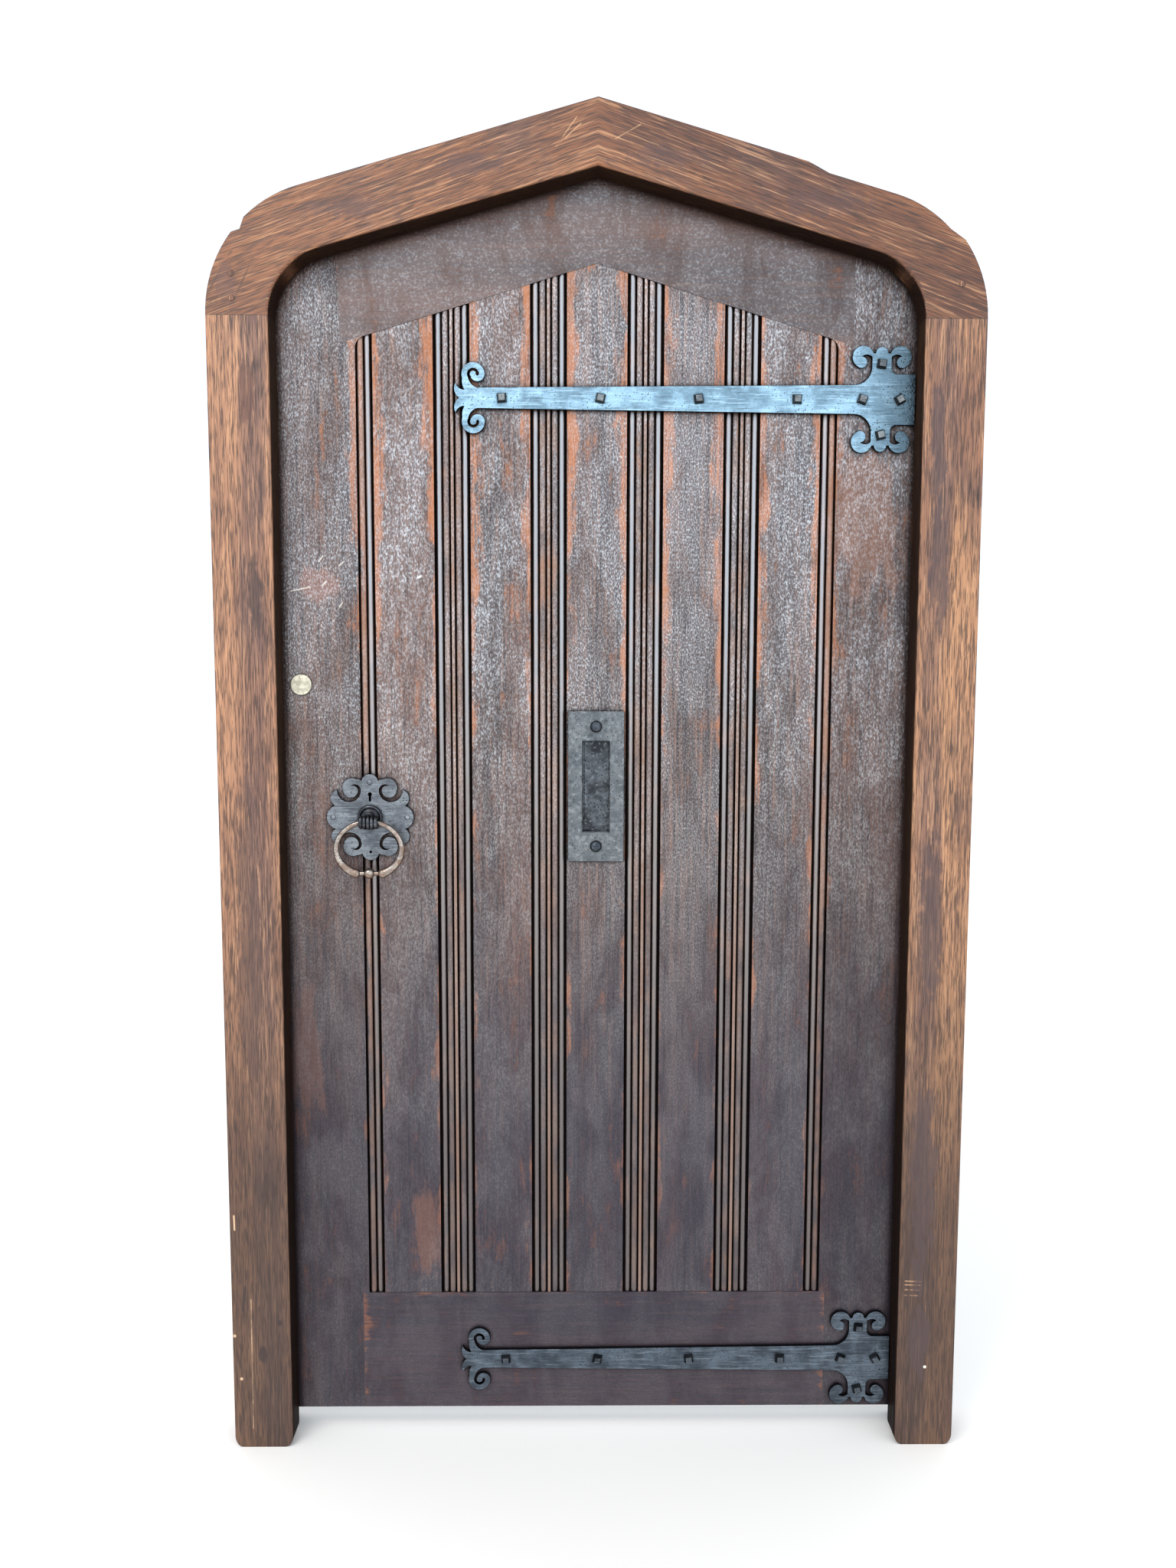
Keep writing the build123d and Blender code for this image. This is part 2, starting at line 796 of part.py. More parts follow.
# Panels: flush outside, sunk inside, with a tongue along both edges
panel_lefts = [-field_half + step * panel_pitch for step in range(panel_count)]
letter_panel = panel_count // 2
letter_x = panel_lefts[letter_panel] + panel_width / 2
stud_places = [(letter_x, letter_z - stud_rise), (letter_x, letter_z + stud_rise)]
slot_half_width = letter_gap_width / 2 + slot_margin
slot_half_height = letter_gap_height / 2 + slot_end_margin
for step, left in enumerate(panel_lefts):
    right = left + panel_width
    with BuildPart() as panel:
        block((left, panel_set, bottom_rail_top), (right, panel_thickness, rail_edge(0)))
        block(
            (left - tongue_reach, tongue_front, bottom_rail_top),
            (right + tongue_reach, tongue_back, rail_edge(0)),
        )
        cut_above_rail()
        bore_strap_bolts(left, right, bottom_rail_top, rail_edge(0))
        if step == letter_panel:
            block(
                (letter_x - slot_half_width, -overrun, letter_z - slot_half_height),
                (letter_x + slot_half_width, leaf_thickness, letter_z + slot_half_height),
                Mode.SUBTRACT,
            )
            cut_rounds(stud_places, stud_shank, -overrun, stud_reach)
        if step == 0:
            cut_rounds(nail_places[2:], nail_shank, -overrun, nail_reach)
    finish(panel, f"panel_{step + 1}")


# Hinge fronts: tapered strap with a scrolled fork at the tail and a crosshead of four volutes
scroll_start = 215.0
bolt_turns = (4.0, -12.0, 8.0, 0.0, -20.0, 30.0, 14.0, -6.0)
# Outline of the fork, across and up from the tail's end, as shares of the tail's half height
spur_notch_share = 1.68
spur_crotch_shares = (1.13, 0.78)
spur_hollow_shares = (1.65, 0.92)
spur_tip_shares = (2.07, 1.45)
spur_cheek_shares = (2.16, 0.72)
neck_back_shares = ((1.36, 2.0), (1.36, 1.36), (1.13, 0.78))
neck_base_shares = (-0.69, 0.3)
neck_front_shares = ((-0.69, 0.97), (0.45, 1.34), (0.8, 2.02))


def strap_face(height):
    """Outline of one hinge front at its height on the leaf."""
    Polygon(
        (strap_tail_x, height - strap_tail_half),
        (crosshead_x, height - strap_root_half),
        (crosshead_x, height + strap_root_half),
        (strap_tail_x, height + strap_tail_half),
        align=None,
    )
    Polygon(
        (crosshead_x, height - root_half),
        (strap_end_x, height - root_half),
        (strap_end_x, height + root_half),
        (crosshead_x, height + root_half),
        align=None,
    )
    with Locations((crosshead_x, height)):
        Rectangle(2 * waist_half, 2 * waist_reach)


def strap_corners(sketch, side, height):
    """The two inner corners beside the crosshead's waist, on one side of it."""
    corner_x = crosshead_x + side * waist_half
    half = strap_root_half if side < 0 else root_half
    return [
        sketch.vertices().sort_by_distance((corner_x, height + rise, 0))[0] for rise in (-half, half)
    ]


def crosshead_volutes(height):
    """Four volutes of the crosshead, each hollowed beside a ball, and two lobes between them."""
    for side in (-1, 1):
        for lift in (-1, 1):
            x = crosshead_x + side * volute_offset
            z = height + lift * volute_rise
            with BuildSketch(Plane.XY) as volute:
                with Locations((x, z)):
                    Circle(volute_radius)
                with Locations((x - side * volute_hollow_set, z - lift * volute_hollow_drop)):
                    Circle(volute_hollow, mode=Mode.SUBTRACT)
                with Locations((x + side * volute_ball_set, z - lift * volute_ball_drop)):
                    Circle(volute_ball)
            add(volute.sketch)
    with Locations((crosshead_x, height - lobe_rise), (crosshead_x, height + lobe_rise)):
        Circle(lobe_radius)


def tail_scroll(height, lift):
    """One scroll of the tail: a stroke coiling inwards to a round eye, on a curved neck."""

    def at(shares):
        across, rise = shares
        return strap_tail_x - across * strap_tail_half, height + lift * rise * strap_tail_half

    x = strap_tail_x - scroll_set
    z = height + lift * scroll_rise
    reach = scroll_radius - scroll_stroke / 2
    coil_x = x + reach - scroll_coil
    with BuildLine() as stroke:
        CenterArc((x, z), reach, lift * scroll_start, -lift * scroll_start)
        CenterArc((coil_x, z), scroll_coil, 0, -lift * 180)
    trace(stroke.edges(), scroll_stroke)
    with Locations((coil_x - scroll_coil, z)):
        Circle(scroll_eye)
    with BuildLine() as neck:
        ThreePointArc(*[at(shares) for shares in neck_back_shares])
        Polyline(at(neck_back_shares[-1]), at(neck_base_shares), at(neck_front_shares[0]))
        ThreePointArc(*[at(shares) for shares in neck_front_shares])
        Line(at(neck_front_shares[-1]), at(neck_back_shares[0]))
    make_face(neck.edges())


def tail_spur(height):
    """The fishtail between the two scrolls of the tail."""

    def at(shares, lift):
        across, rise = shares
        return strap_tail_x - across * strap_tail_half, height + lift * rise * strap_tail_half

    notch = (strap_tail_x - spur_notch_share * strap_tail_half, height)
    with BuildLine() as spur:
        for lift in (-1, 1):
            crotch = at(spur_crotch_shares, lift)
            tip = at(spur_tip_shares, lift)
            ThreePointArc(crotch, at(spur_hollow_shares, lift), tip)
            ThreePointArc(tip, at(spur_cheek_shares, lift), notch)
            Line(crotch, (strap_tail_x, crotch[1]))
        Line((strap_tail_x, at(spur_crotch_shares, -1)[1]), (strap_tail_x, at(spur_crotch_shares, 1)[1]))
    make_face(spur.edges())


for height, name in ((top_strap_height, "top_strap"), (bottom_strap_height, "bottom_strap")):
    places = strap_bolt_places(height)
    with BuildPart() as strap:
        with BuildSketch(Plane.XZ) as strap_sketch:
            strap_face(height)
            fillet(strap_corners(strap_sketch, -1, height), root_curve)
            fillet(strap_corners(strap_sketch, 1, height), end_curve)
            crosshead_volutes(height)
            tail_spur(height)
            for lift in (-1, 1):
                tail_scroll(height, lift)
            with Locations(*places):
                Circle(bolt_shank / 2 + bolt_play, mode=Mode.SUBTRACT)
        extrude(amount=strap_thickness)
    finish(strap, name)
    with BuildPart() as bolts:
        with BuildSketch(Plane.XZ.offset(strap_thickness)):
            for step, place in enumerate(places):
                with Locations(place):
                    Rectangle(bolt_head, bolt_head, rotation=bolt_turns[step % len(bolt_turns)])
        extrude(amount=bolt_head_height, taper=bolt_taper)
        with BuildSketch(Plane.XZ.offset(strap_thickness)):
            with Locations(*places):
                Circle(bolt_shank / 2)
        extrude(amount=-(strap_thickness + bolt_reach))
    finish(bolts, f"{name}_bolts")


# Butt hinges: knuckles shared between the frame's plate and the leaf's plate, on one pin
knuckle_pitch = hinge_height / knuckle_count


def hinge_plate(height, plate_x, knuckles):
    """One hinge plate across X with its knuckles round the hinge's axis."""
    low_x = plate_x
    high_x = plate_x + hinge_plate_thickness
    bottom = height - hinge_height / 2
    plate_back = leaf_thickness - hinge_set
    block(
        (low_x, leaf_thickness - hinge_plate_depth, bottom),
        (high_x, plate_back, bottom + hinge_height),
    )
    for index in knuckles:
        foot = bottom + index * knuckle_pitch + knuckle_play / 2
        tall = knuckle_pitch - knuckle_play
        block((low_x, plate_back, foot), (high_x, hinge_y, foot + tall))
        with BuildSketch(Plane.XY.offset(foot)) as knuckle:
            with Locations((hinge_x, hinge_y)):
                Circle(knuckle_radius)
        extrude(knuckle.sketch, amount=tall)
    with BuildSketch(Plane.XY.offset(bottom)) as bore:
        with Locations((hinge_x, hinge_y)):
            Circle(hinge_pin_radius + pin_play)
    extrude(bore.sketch, amount=hinge_height, mode=Mode.SUBTRACT)


def screw_cone(face_x, side, height, mode=Mode.ADD):
    """A countersunk head in the thickness of a hinge plate."""
    with BuildSketch(Plane.YZ.offset(face_x)) as wide:
        with Locations((hinge_screw_y, height)):
            Circle(hinge_screw_head / 2)
    with BuildSketch(Plane.YZ.offset(face_x + side * hinge_plate_thickness)) as narrow:
        with Locations((hinge_screw_y, height)):
            Circle(hinge_screw_shank / 2)
    loft([wide.sketch, narrow.sketch], mode=mode)


frame_knuckles = range(0, knuckle_count, 2)
leaf_knuckles = range(1, knuckle_count, 2)
leaf_plate_x = half_leaf - hinge_plate_thickness
for height, place in zip(hinge_heights, ("top", "bottom")):
    screw_heights = [height + step * hinge_screw_pitch for step in (-1, 0, 1)]
    with BuildPart() as frame_plate:
        hinge_plate(height, half_rebate, frame_knuckles)
        for screw_height in screw_heights:
            screw_cone(half_rebate, 1, screw_height, Mode.SUBTRACT)
    finish(frame_plate, f"{place}_hinge_frame_plate")
    with BuildPart() as leaf_plate:
        hinge_plate(height, leaf_plate_x, leaf_knuckles)
        for screw_height in screw_heights:
            screw_cone(half_leaf, -1, screw_height, Mode.SUBTRACT)
    finish(leaf_plate, f"{place}_hinge_leaf_plate")
    with BuildPart() as hinge_pin:
        with BuildSketch(Plane.XY.offset(height - hinge_height / 2)):
            with Locations((hinge_x, hinge_y)):
                Circle(hinge_pin_radius)
        extrude(amount=hinge_height)
        for end in (-1, 1):
            with Locations((hinge_x, hinge_y, height + end * (hinge_height / 2 + pin_tip_rise))):
                Sphere(pin_tip_radius)
    finish(hinge_pin, f"{place}_hinge_pin")

for face_x, side, name in ((half_rebate, 1, "hinge_frame_screws"), (half_leaf, -1, "hinge_leaf_screws")):
    with BuildPart() as screws:
        for height in hinge_screw_places():
            screw_cone(face_x, side, height)
        with BuildSketch(Plane.YZ.offset(face_x + side * hinge_plate_thickness)):
            with Locations(*[(hinge_screw_y, height) for height in hinge_screw_places()]):
                Circle(hinge_screw_shank / 2)
        extrude(amount=side * (hinge_screw_reach - hinge_plate_thickness))
    finish(screws, name)

# Ring handle: a cusped back plate, nailed on, with the keyhole above the ring
plate_body_shares = (0.73, 0.55)
plate_stem_shares = (0.222, 0.83)
plate_lobe_shares = (
    (0.0, 0.81, 0.194),
    (0.3, 0.7, 0.185),
    (0.412, 0.692, 0.217),
    (0.702, 0.446, 0.198),
    (0.721, 0.0, 0.279),
)
slot_centre_shares = (0.481, 0.631)
slot_radius_share = 0.275
slot_curl_share = 0.140
slot_tip_share = 0.043
slot_mouth_shares = (0.65, 0.031)
slot_curl_end = 40.0
volute_eye_shares = (0.443, 0.168)


def volute_slot(side, lift):
    """A pierced slot that runs round a volute of the back plate and curls into it."""
    outer = slot_radius_share * plate_half_width
    curl_radius = slot_curl_share * plate_half_width
    eye = volute_eye_shares[1] * plate_half_width
    middle = slot_centre_shares[0] * plate_half_width
    eye_middle = volute_eye_shares[0] * plate_half_width
    level = slot_centre_shares[1] * plate_half_height
    curl_middle = middle - outer + curl_radius
    tip_reach = curl_radius * cos(radians(slot_curl_end))
    tip_rise = curl_radius * sin(radians(slot_curl_end))
    tip_width = slot_tip_share * plate_half_width
    mouth_reach = slot_mouth_shares[0] * plate_half_width
    mouth_rise = slot_mouth_shares[1] * plate_half_height

    def at(reach, rise):
        return handle_x + side * reach, handle_z + lift * (level + rise)

    tip = at(curl_middle + tip_reach, tip_rise)
    with BuildLine() as slot:
        ThreePointArc(at(middle + outer, 0), at(middle, -outer), at(middle - outer, 0))
        ThreePointArc(at(middle - outer, 0), at(curl_middle, curl_radius), tip)
        ThreePointArc(tip, at(curl_middle, curl_radius - tip_width), at(eye_middle - eye, 0))
        ThreePointArc(at(eye_middle - eye, 0), at(eye_middle, -eye), at(eye_middle + eye, 0))
        Polyline(
            at(eye_middle + eye, 0),
            at(mouth_reach, mouth_rise),
            at(middle + outer, mouth_rise),
            at(middle + outer, 0),
        )
    make_face(slot.edges(), mode=Mode.SUBTRACT)


with BuildPart() as ring_plate:
    with BuildSketch(Plane.XZ):
        for half_width, half_height in (plate_body_shares, plate_stem_shares):
            with Locations((handle_x, handle_z)):
                Rectangle(2 * half_width * plate_half_width, 2 * half_height * plate_half_height)
        for across, rise, radius in plate_lobe_shares:
            for side in (-1, 1):
                for lift in (-1, 1):
                    x = handle_x + side * across * plate_half_width
                    z = handle_z + lift * rise * plate_half_height
                    with Locations((x, z)):
                        Circle(radius * plate_half_width)
        for side in (-1, 1):
            for lift in (-1, 1):
                volute_slot(side, lift)
        keyhole(Mode.SUBTRACT)
        with Locations((handle_x, handle_z)):
            Circle(spindle_bore, mode=Mode.SUBTRACT)
        with Locations(*nail_places, empty_nail_place):
            Circle(nail_shank + bolt_play, mode=Mode.SUBTRACT)
    extrude(amount=plate_thickness)
finish(ring_plate, "ring_plate")


def domed_heads(places, front, radius, rise, shank, reach):
    """Domed heads seated on a face, with shanks into the wood behind."""
    with BuildSketch(Plane.XZ.offset(front)) as shanks:
        with Locations(*places):
            Circle(shank)
    extrude(shanks.sketch, amount=-(front + reach))
    dome_radius = (radius**2 + rise**2) / (2 * rise)
    half_turn = asin(radius / dome_radius) / 2
    dome_centre = dome_radius - rise - front
    for x, z in places:
        with BuildSketch(Plane.XY.offset(z)) as dome:
            with BuildLine():
                Line((x, -front), (x + radius, -front))
                ThreePointArc(
                    (x + radius, -front),
                    (x + dome_radius * sin(half_turn), dome_centre - dome_radius * cos(half_turn)),
                    (x, -front - rise),
                )
                Line((x, -front - rise), (x, -front))
            make_face()
        revolve(dome.sketch, axis=Axis((x, 0, z), (0, 1, 0)))


with BuildPart() as ring_plate_nails:
    domed_heads(nail_places, plate_thickness, nail_radius, nail_height, nail_shank, nail_reach)
finish(ring_plate_nails, "ring_plate_nails")

# Boss: a round collar turning on the plate, with a ribbed barrel for the ring
collar_back = -plate_thickness - handle_play
collar_front = collar_back - collar_thickness
barrel_y = -plate_thickness - barrel_stand
barrel_z = handle_z - barrel_drop
ring_sag = ring_half_height * (1 - (1 - (barrel_length / 2 / ring_half_width) ** 2) ** 0.5)
barrel_bore = ring_section + ring_sag / 2 + ring_play
barrel_left = handle_x - barrel_length / 2
rib_width = barrel_length / barrel_rib_count
rib_swell_shares = (0.90, 0.98, 1.0, 0.98, 0.90)
with BuildPart() as ring_boss:
    with BuildSketch(Plane.XY.offset(handle_z)):
        with BuildLine():
            Polyline(
                (handle_x, barrel_y),
                (handle_x, collar_back),
                (handle_x + collar_radius, collar_back),
                (handle_x + collar_radius, collar_back - collar_thickness / 2),
            )
            ThreePointArc(
                (handle_x + collar_radius, collar_back - collar_thickness / 2),
                (handle_x + collar_radius - collar_thickness / 2, collar_front),
                (handle_x + collar_radius - collar_thickness, collar_back - collar_thickness / 2),
            )
            Polyline(
                (handle_x + collar_radius - collar_thickness, collar_back - collar_thickness / 2),
                (handle_x + neck_radius, collar_front),
                (handle_x + neck_radius, barrel_y),
                (handle_x, barrel_y),
            )
        make_face()
    revolve(axis=Axis((handle_x, 0, handle_z), (0, 1, 0)))
    with BuildSketch(Plane.XY.offset(barrel_z)):
        with BuildLine():
            for step in range(barrel_rib_count):
                crest = barrel_radius * rib_swell_shares[step % len(rib_swell_shares)]
                start_x = barrel_left + step * rib_width
                root = barrel_y - barrel_radius * rib_swell_shares[0] + barrel_groove
                ThreePointArc(
                    (start_x, root),
                    (start_x + rib_width / 2, barrel_y - crest),
                    (start_x + rib_width, root),
                )
            Polyline(
                (barrel_left + barrel_length, root),
                (barrel_left + barrel_length, barrel_y),
                (barrel_left, barrel_y),
                (barrel_left, root),
            )
        make_face()
    revolve(axis=Axis((handle_x, barrel_y, barrel_z), (1, 0, 0)))
    with BuildSketch(Plane.YZ.offset(barrel_left)):
        with Locations((barrel_y, barrel_z)):
            Circle(barrel_bore)
    extrude(amount=barrel_length, mode=Mode.SUBTRACT)
finish(ring_boss, "ring_boss")

# Drop ring: a flattened iron hoop that swells to a knob at each foot, with a bead between them
ring_top = barrel_z + ring_sag / 2
ring_z = ring_top - ring_half_height
ring_plane = Plane(origin=(handle_x, barrel_y, ring_z), x_dir=(1, 0, 0), z_dir=(0, -1, 0))
ring_foot_turn = degrees(acos(ring_foot_set / ring_half_width))
ring_foot_z = ring_z - ring_half_height * sin(radians(ring_foot_turn))
# How far along each half of the hoop, from its foot to its top, and how much of the swelling is left
hoop_swell_shares = ((0.0, 1.0), (0.2, 0.5), (0.5, 0.06), (1.0, 0.0))
with BuildPart() as drop_ring:
    for side in (-1, 1):
        start = -ring_foot_turn if side > 0 else 90
        with BuildLine(ring_plane) as half_hoop:
            EllipticalCenterArc(
                (0, 0), ring_half_width, ring_half_height, start, arc_size=90 + ring_foot_turn
            )
        path = half_hoop.edge()
        sections = []
        for along, swell in hoop_swell_shares[::side]:
            place = along if side > 0 else 1 - along
            section_plane = Plane(origin=path @ place, x_dir=(0, 1, 0), z_dir=path % place)
            with BuildSketch(section_plane) as section:
                Circle(ring_section + swell * (ring_foot_section - ring_section))
            sections.append(section.sketch)
        sweep(sections, path=path, multisection=True)
        with Locations((handle_x + side * ring_foot_set, barrel_y, ring_foot_z)):
            Sphere(ring_knob_radius, rotation=(0, 90, 0))
    with BuildSketch(Plane.YZ.offset(handle_x - ring_foot_set)) as core:
        with Locations((barrel_y, ring_foot_z)):
            Circle(bead_core)
    extrude(core.sketch, amount=2 * ring_foot_set)
    with Locations((handle_x, barrel_y, ring_foot_z)):
        Sphere(bead_radius, rotation=(0, 90, 0))
finish(drop_ring, "drop_ring")

# Spindle, follower and inner knob turn with the boss
knob_front = lock_back + handle_play
with BuildPart() as spindle:
    half = spindle_side / 2
    block(
        (handle_x - half, collar_back, handle_z - half),
        (handle_x + half, knob_front + knob_socket, handle_z + half),
    )
finish(spindle, "spindle")

with BuildPart() as follower:
    with BuildSketch(Plane.XZ.offset(-bolt_front)):
        with Locations((handle_x, handle_z)):
            Circle(follower_radius)
        with Locations((handle_x, handle_z - horn_reach / 2)):
            Rectangle(horn_width, horn_reach)
        with Locations((handle_x, handle_z)):
            Rectangle(spindle_side, spindle_side, mode=Mode.SUBTRACT)
    extrude(amount=-bolt_depth)
finish(follower, "follower")

knob_profile_shares = ((0.0, 0.35), (0.30, 0.40), (0.42, 0.85), (0.62, 1.0), (0.84, 0.80), (1.0, 0.0))
with BuildPart() as inner_knob:
    with BuildSketch(Plane.XY.offset(handle_z)):
        with BuildLine():
            profile = [
                (handle_x + radius * knob_radius, knob_front + along * knob_length)
                for along, radius in knob_profile_shares
            ]
            Line((handle_x, knob_front), profile[0])
            Line(profile[0], profile[1])
            Spline(*profile[1:], tangents=((0, 1), (-1, 0)))
            Line(profile[-1], (handle_x, knob_front))
        make_face()
    revolve(axis=Axis((handle_x, 0, handle_z), (0, 1, 0)))
    block(
        (handle_x - half, knob_front - overrun, handle_z - half),
        (handle_x + half, knob_front + knob_socket, handle_z + half),
        Mode.SUBTRACT,
    )
finish(inner_knob, "inner_knob")

# Rim lock: sole plate and case, with slots for two bolts and bores for spindle and key
case_front = leaf_thickness + lock_floor
slide_front = bolt_front - slide_play
slide_back = bolt_back + slide_play
with BuildPart() as lock_plate:
    block((lock_left, leaf_thickness, lock_bottom), (lock_right, case_front, lock_top))
    cut_rounds([(handle_x, handle_z)], spindle_bore, leaf_thickness - overrun, case_front + overrun)
    cut_keyhole(leaf_thickness - overrun, case_front + overrun)
    cut_rounds(lock_screws, lock_screw_shank + bolt_play, leaf_thickness - overrun, case_front + overrun)
finish(lock_plate, "lock_plate")

with BuildPart() as lock_case:
    block((lock_left, case_front, lock_bottom), (lock_right, lock_back, lock_top))
    block(
        (lock_left + lock_wall, case_front - overrun, lock_bottom + lock_wall),
        (lock_right - lock_wall, lock_back - lock_wall, lock_top - lock_wall),
        Mode.SUBTRACT,
    )
    for slot_z, slot_height in ((handle_z, latch_height), (dead_bolt_z, dead_bolt_height)):
        slot_half = slot_height / 2 + slide_play
        block(
            (lock_left - overrun, slide_front, slot_z - slot_half),
            (lock_left + lock_wall + overrun, slide_back, slot_z + slot_half),
            Mode.SUBTRACT,
        )
    with BuildSketch(Plane.XZ.offset(-case_front)):
        with Locations(*lock_screws):
            Circle(lock_screw_head)
    extrude(amount=-(lock_depth - lock_floor))
    cut_rounds(lock_screws, lock_screw_shank + bolt_play, case_front - overrun, lock_back + overrun)
    cut_rounds([(handle_x, handle_z)], spindle_bore, lock_back - overrun, lock_back + overrun)
    cut_keyhole(lock_back - overrun, lock_back + overrun)
finish(lock_case, "lock_case")

with BuildPart() as lock_screw_set:
    with BuildSketch(Plane.XZ.offset(-lock_back)):
        with Locations(*lock_screws):
            Circle(lock_screw_head)
    extrude(amount=-lock_screw_shank)
    with BuildSketch(Plane.XZ.offset(-lock_back)):
        with Locations(*lock_screws):
            Circle(lock_screw_shank)
    extrude(amount=lock_depth + lock_screw_reach)
finish(lock_screw_set, "lock_screws")

# Latch bolt: a bevelled bar with an arm under the follower, drawn back by the follower's horn
latch_end = handle_x - follower_radius - latch_throw - slide_play
lug_left = handle_x + horn_width / 2 + latch_lug_gap
lug_right = lug_left + latch_lug_width
arm_bottom = handle_z - horn_reach - slide_play - latch_bar_thickness
latch_bottom = handle_z - latch_height / 2
latch_top = handle_z + latch_height / 2
latch_tip = lock_left - latch_throw
with BuildPart() as latch_bolt:
    block((latch_tip, bolt_front, latch_bottom), (latch_end, bolt_back, latch_top))
    with BuildSketch(Plane.XY.offset(latch_bottom)):
        Polygon(
            (latch_tip, bolt_front),
            (latch_tip + latch_throw, bolt_front),
            (latch_tip, bolt_back - lock_wall),
            align=None,
        )
    extrude(amount=latch_height, mode=Mode.SUBTRACT)
    block((latch_end - latch_arm_width, bolt_front, arm_bottom), (latch_end, bolt_back, latch_bottom))
    block(
        (latch_end, bolt_front, arm_bottom),
        (lug_right, bolt_back, arm_bottom + latch_bar_thickness),
    )
    block((lug_left, bolt_front, arm_bottom), (lug_right, bolt_back, arm_bottom + latch_lug_rise))
finish(latch_bolt, "latch_bolt")

# Dead bolt: a bar above the key with a talon for the bit
dead_bottom = dead_bolt_z - dead_bolt_height / 2
dead_top = dead_bolt_z + dead_bolt_height / 2
with BuildPart() as dead_bolt:
    block(
        (lock_left, bolt_front, dead_bottom),
        (lock_right - lock_wall - dead_bolt_inset, bolt_back, dead_top),
    )
    block(
        (handle_x - talon_width / 2, bolt_front - overrun, dead_bottom - overrun),
        (handle_x + talon_width / 2, bolt_back + overrun, dead_bottom + talon_depth),
        Mode.SUBTRACT,
    )
finish(dead_bolt, "dead_bolt")

# Keep: a folded staple on the inner face of the left jamb for the dead bolt
with BuildPart() as lock_keep:
    block(
        (keep_left, leaf_thickness, keep_bottom),
        (keep_right, leaf_thickness + keep_depth, keep_top),
    )
    block(
        (keep_left + keep_wall, leaf_thickness - overrun, keep_bottom + keep_wall),
        (keep_right + overrun, bolt_back + keep_mouth_play, keep_top - keep_wall),
        Mode.SUBTRACT,
    )
    for low_z in (keep_bottom - keep_flange, keep_top):
        block(
            (keep_left, leaf_thickness, low_z),
            (keep_right, leaf_thickness + keep_flange_thickness, low_z + keep_flange),
        )
    cut_rounds(keep_screws, lock_screw_shank + bolt_play, leaf_thickness - overrun, lock_back)
finish(lock_keep, "lock_keep")

with BuildPart() as keep_screw_set:
    flange_back = leaf_thickness + keep_flange_thickness
    with BuildSketch(Plane.XZ.offset(-flange_back)):
        with Locations(*keep_screws):
            Circle(lock_screw_head)
    extrude(amount=-lock_screw_shank)
    with BuildSketch(Plane.XZ.offset(-flange_back)):
        with Locations(*keep_screws):
            Circle(lock_screw_shank)
    extrude(amount=keep_flange_thickness + lock_screw_reach)
finish(keep_screw_set, "keep_screws")

# Letter plate: upright iron plate with a bevelled mouth and lugs behind for the flap's pin
flap_half_width = letter_gap_width / 2 + flap_lap
flap_half_height = letter_gap_height / 2 + flap_lap
flap_pin_x = letter_x - letter_gap_width / 2
flap_pin_y = flap_back + flap_thickness / 2
lug_half_height = flap_half_height + flap_play + flap_lug_thickness
with BuildPart() as letter_plate:
    block(
        (letter_x - letter_width / 2, -letter_thickness, letter_z - letter_height / 2),
        (letter_x + letter_width / 2, 0, letter_z + letter_height / 2),
    )
    block(
        (letter_x - letter_gap_width / 2, -letter_thickness, letter_z - letter_gap_height / 2),
        (letter_x + letter_gap_width / 2, 0, letter_z + letter_gap_height / 2),
        Mode.SUBTRACT,
    )
    mouth = letter_plate.faces().sort_by(Axis.Y)[0].inner_wires()[0]
    chamfer(mouth.edges(), letter_bevel)
    for lift in (-1, 1):
        lug_inner = lug_half_height - flap_lug_thickness
        low_z, high_z = sorted((letter_z + lift * lug_half_height, letter_z + lift * lug_inner))
        block(
            (flap_pin_x - flap_knuckle_radius, 0, low_z),
            (flap_pin_x + flap_knuckle_radius, flap_pin_y + flap_knuckle_radius, high_z),
        )
    with BuildSketch(Plane.XY.offset(letter_z - letter_gap_height)):
        with Locations((flap_pin_x, flap_pin_y)):
            Circle(flap_pin_radius + pin_play)
    extrude(amount=2 * letter_gap_height, mode=Mode.SUBTRACT)
    cut_rounds(stud_places, stud_shank + bolt_play, -letter_thickness - overrun, overrun)
finish(letter_plate, "letter_plate")

with BuildPart() as letter_studs:
    domed_heads(stud_places, letter_thickness, stud_radius, stud_height, stud_shank, stud_reach)
finish(letter_studs, "letter_studs")

with BuildPart() as flap_pin:
    with BuildSketch(Plane.XY.offset(letter_z - lug_half_height)):
        with Locations((flap_pin_x, flap_pin_y)):
            Circle(flap_pin_radius)
    extrude(amount=2 * lug_half_height)
finish(flap_pin, "flap_pin")

with BuildPart() as letter_flap:
    block(
        (flap_pin_x, flap_back, letter_z - flap_half_height),
        (letter_x + flap_half_width, flap_back + flap_thickness, letter_z + flap_half_height),
    )
    with BuildSketch(Plane.XY.offset(letter_z - flap_half_height)):
        with Locations((flap_pin_x, flap_pin_y)):
            Circle(flap_knuckle_radius - flap_play)
    extrude(amount=2 * flap_half_height)
    with BuildSketch(Plane.XY.offset(letter_z - flap_half_height)):
        with Locations((flap_pin_x, flap_pin_y)):
            Circle(flap_pin_radius + pin_play)
    extrude(amount=2 * flap_half_height, mode=Mode.SUBTRACT)
finish(letter_flap, "letter_flap")

# Key cover: a brass disc hanging on one pin over the bore in the lock stile
with BuildPart() as key_cover:
    with BuildSketch(Plane.XZ.offset(cover_play)):
        with Locations((cover_x, cover_z)):
            Circle(cover_radius)
        with Locations(cover_pin_place):
            Circle(cover_pin_radius + pin_play, mode=Mode.SUBTRACT)
    extrude(amount=cover_thickness)
    chamfer(key_cover.faces().sort_by(Axis.Y)[0].outer_wire().edges(), cover_thickness / 4)
finish(key_cover, "key_cover")

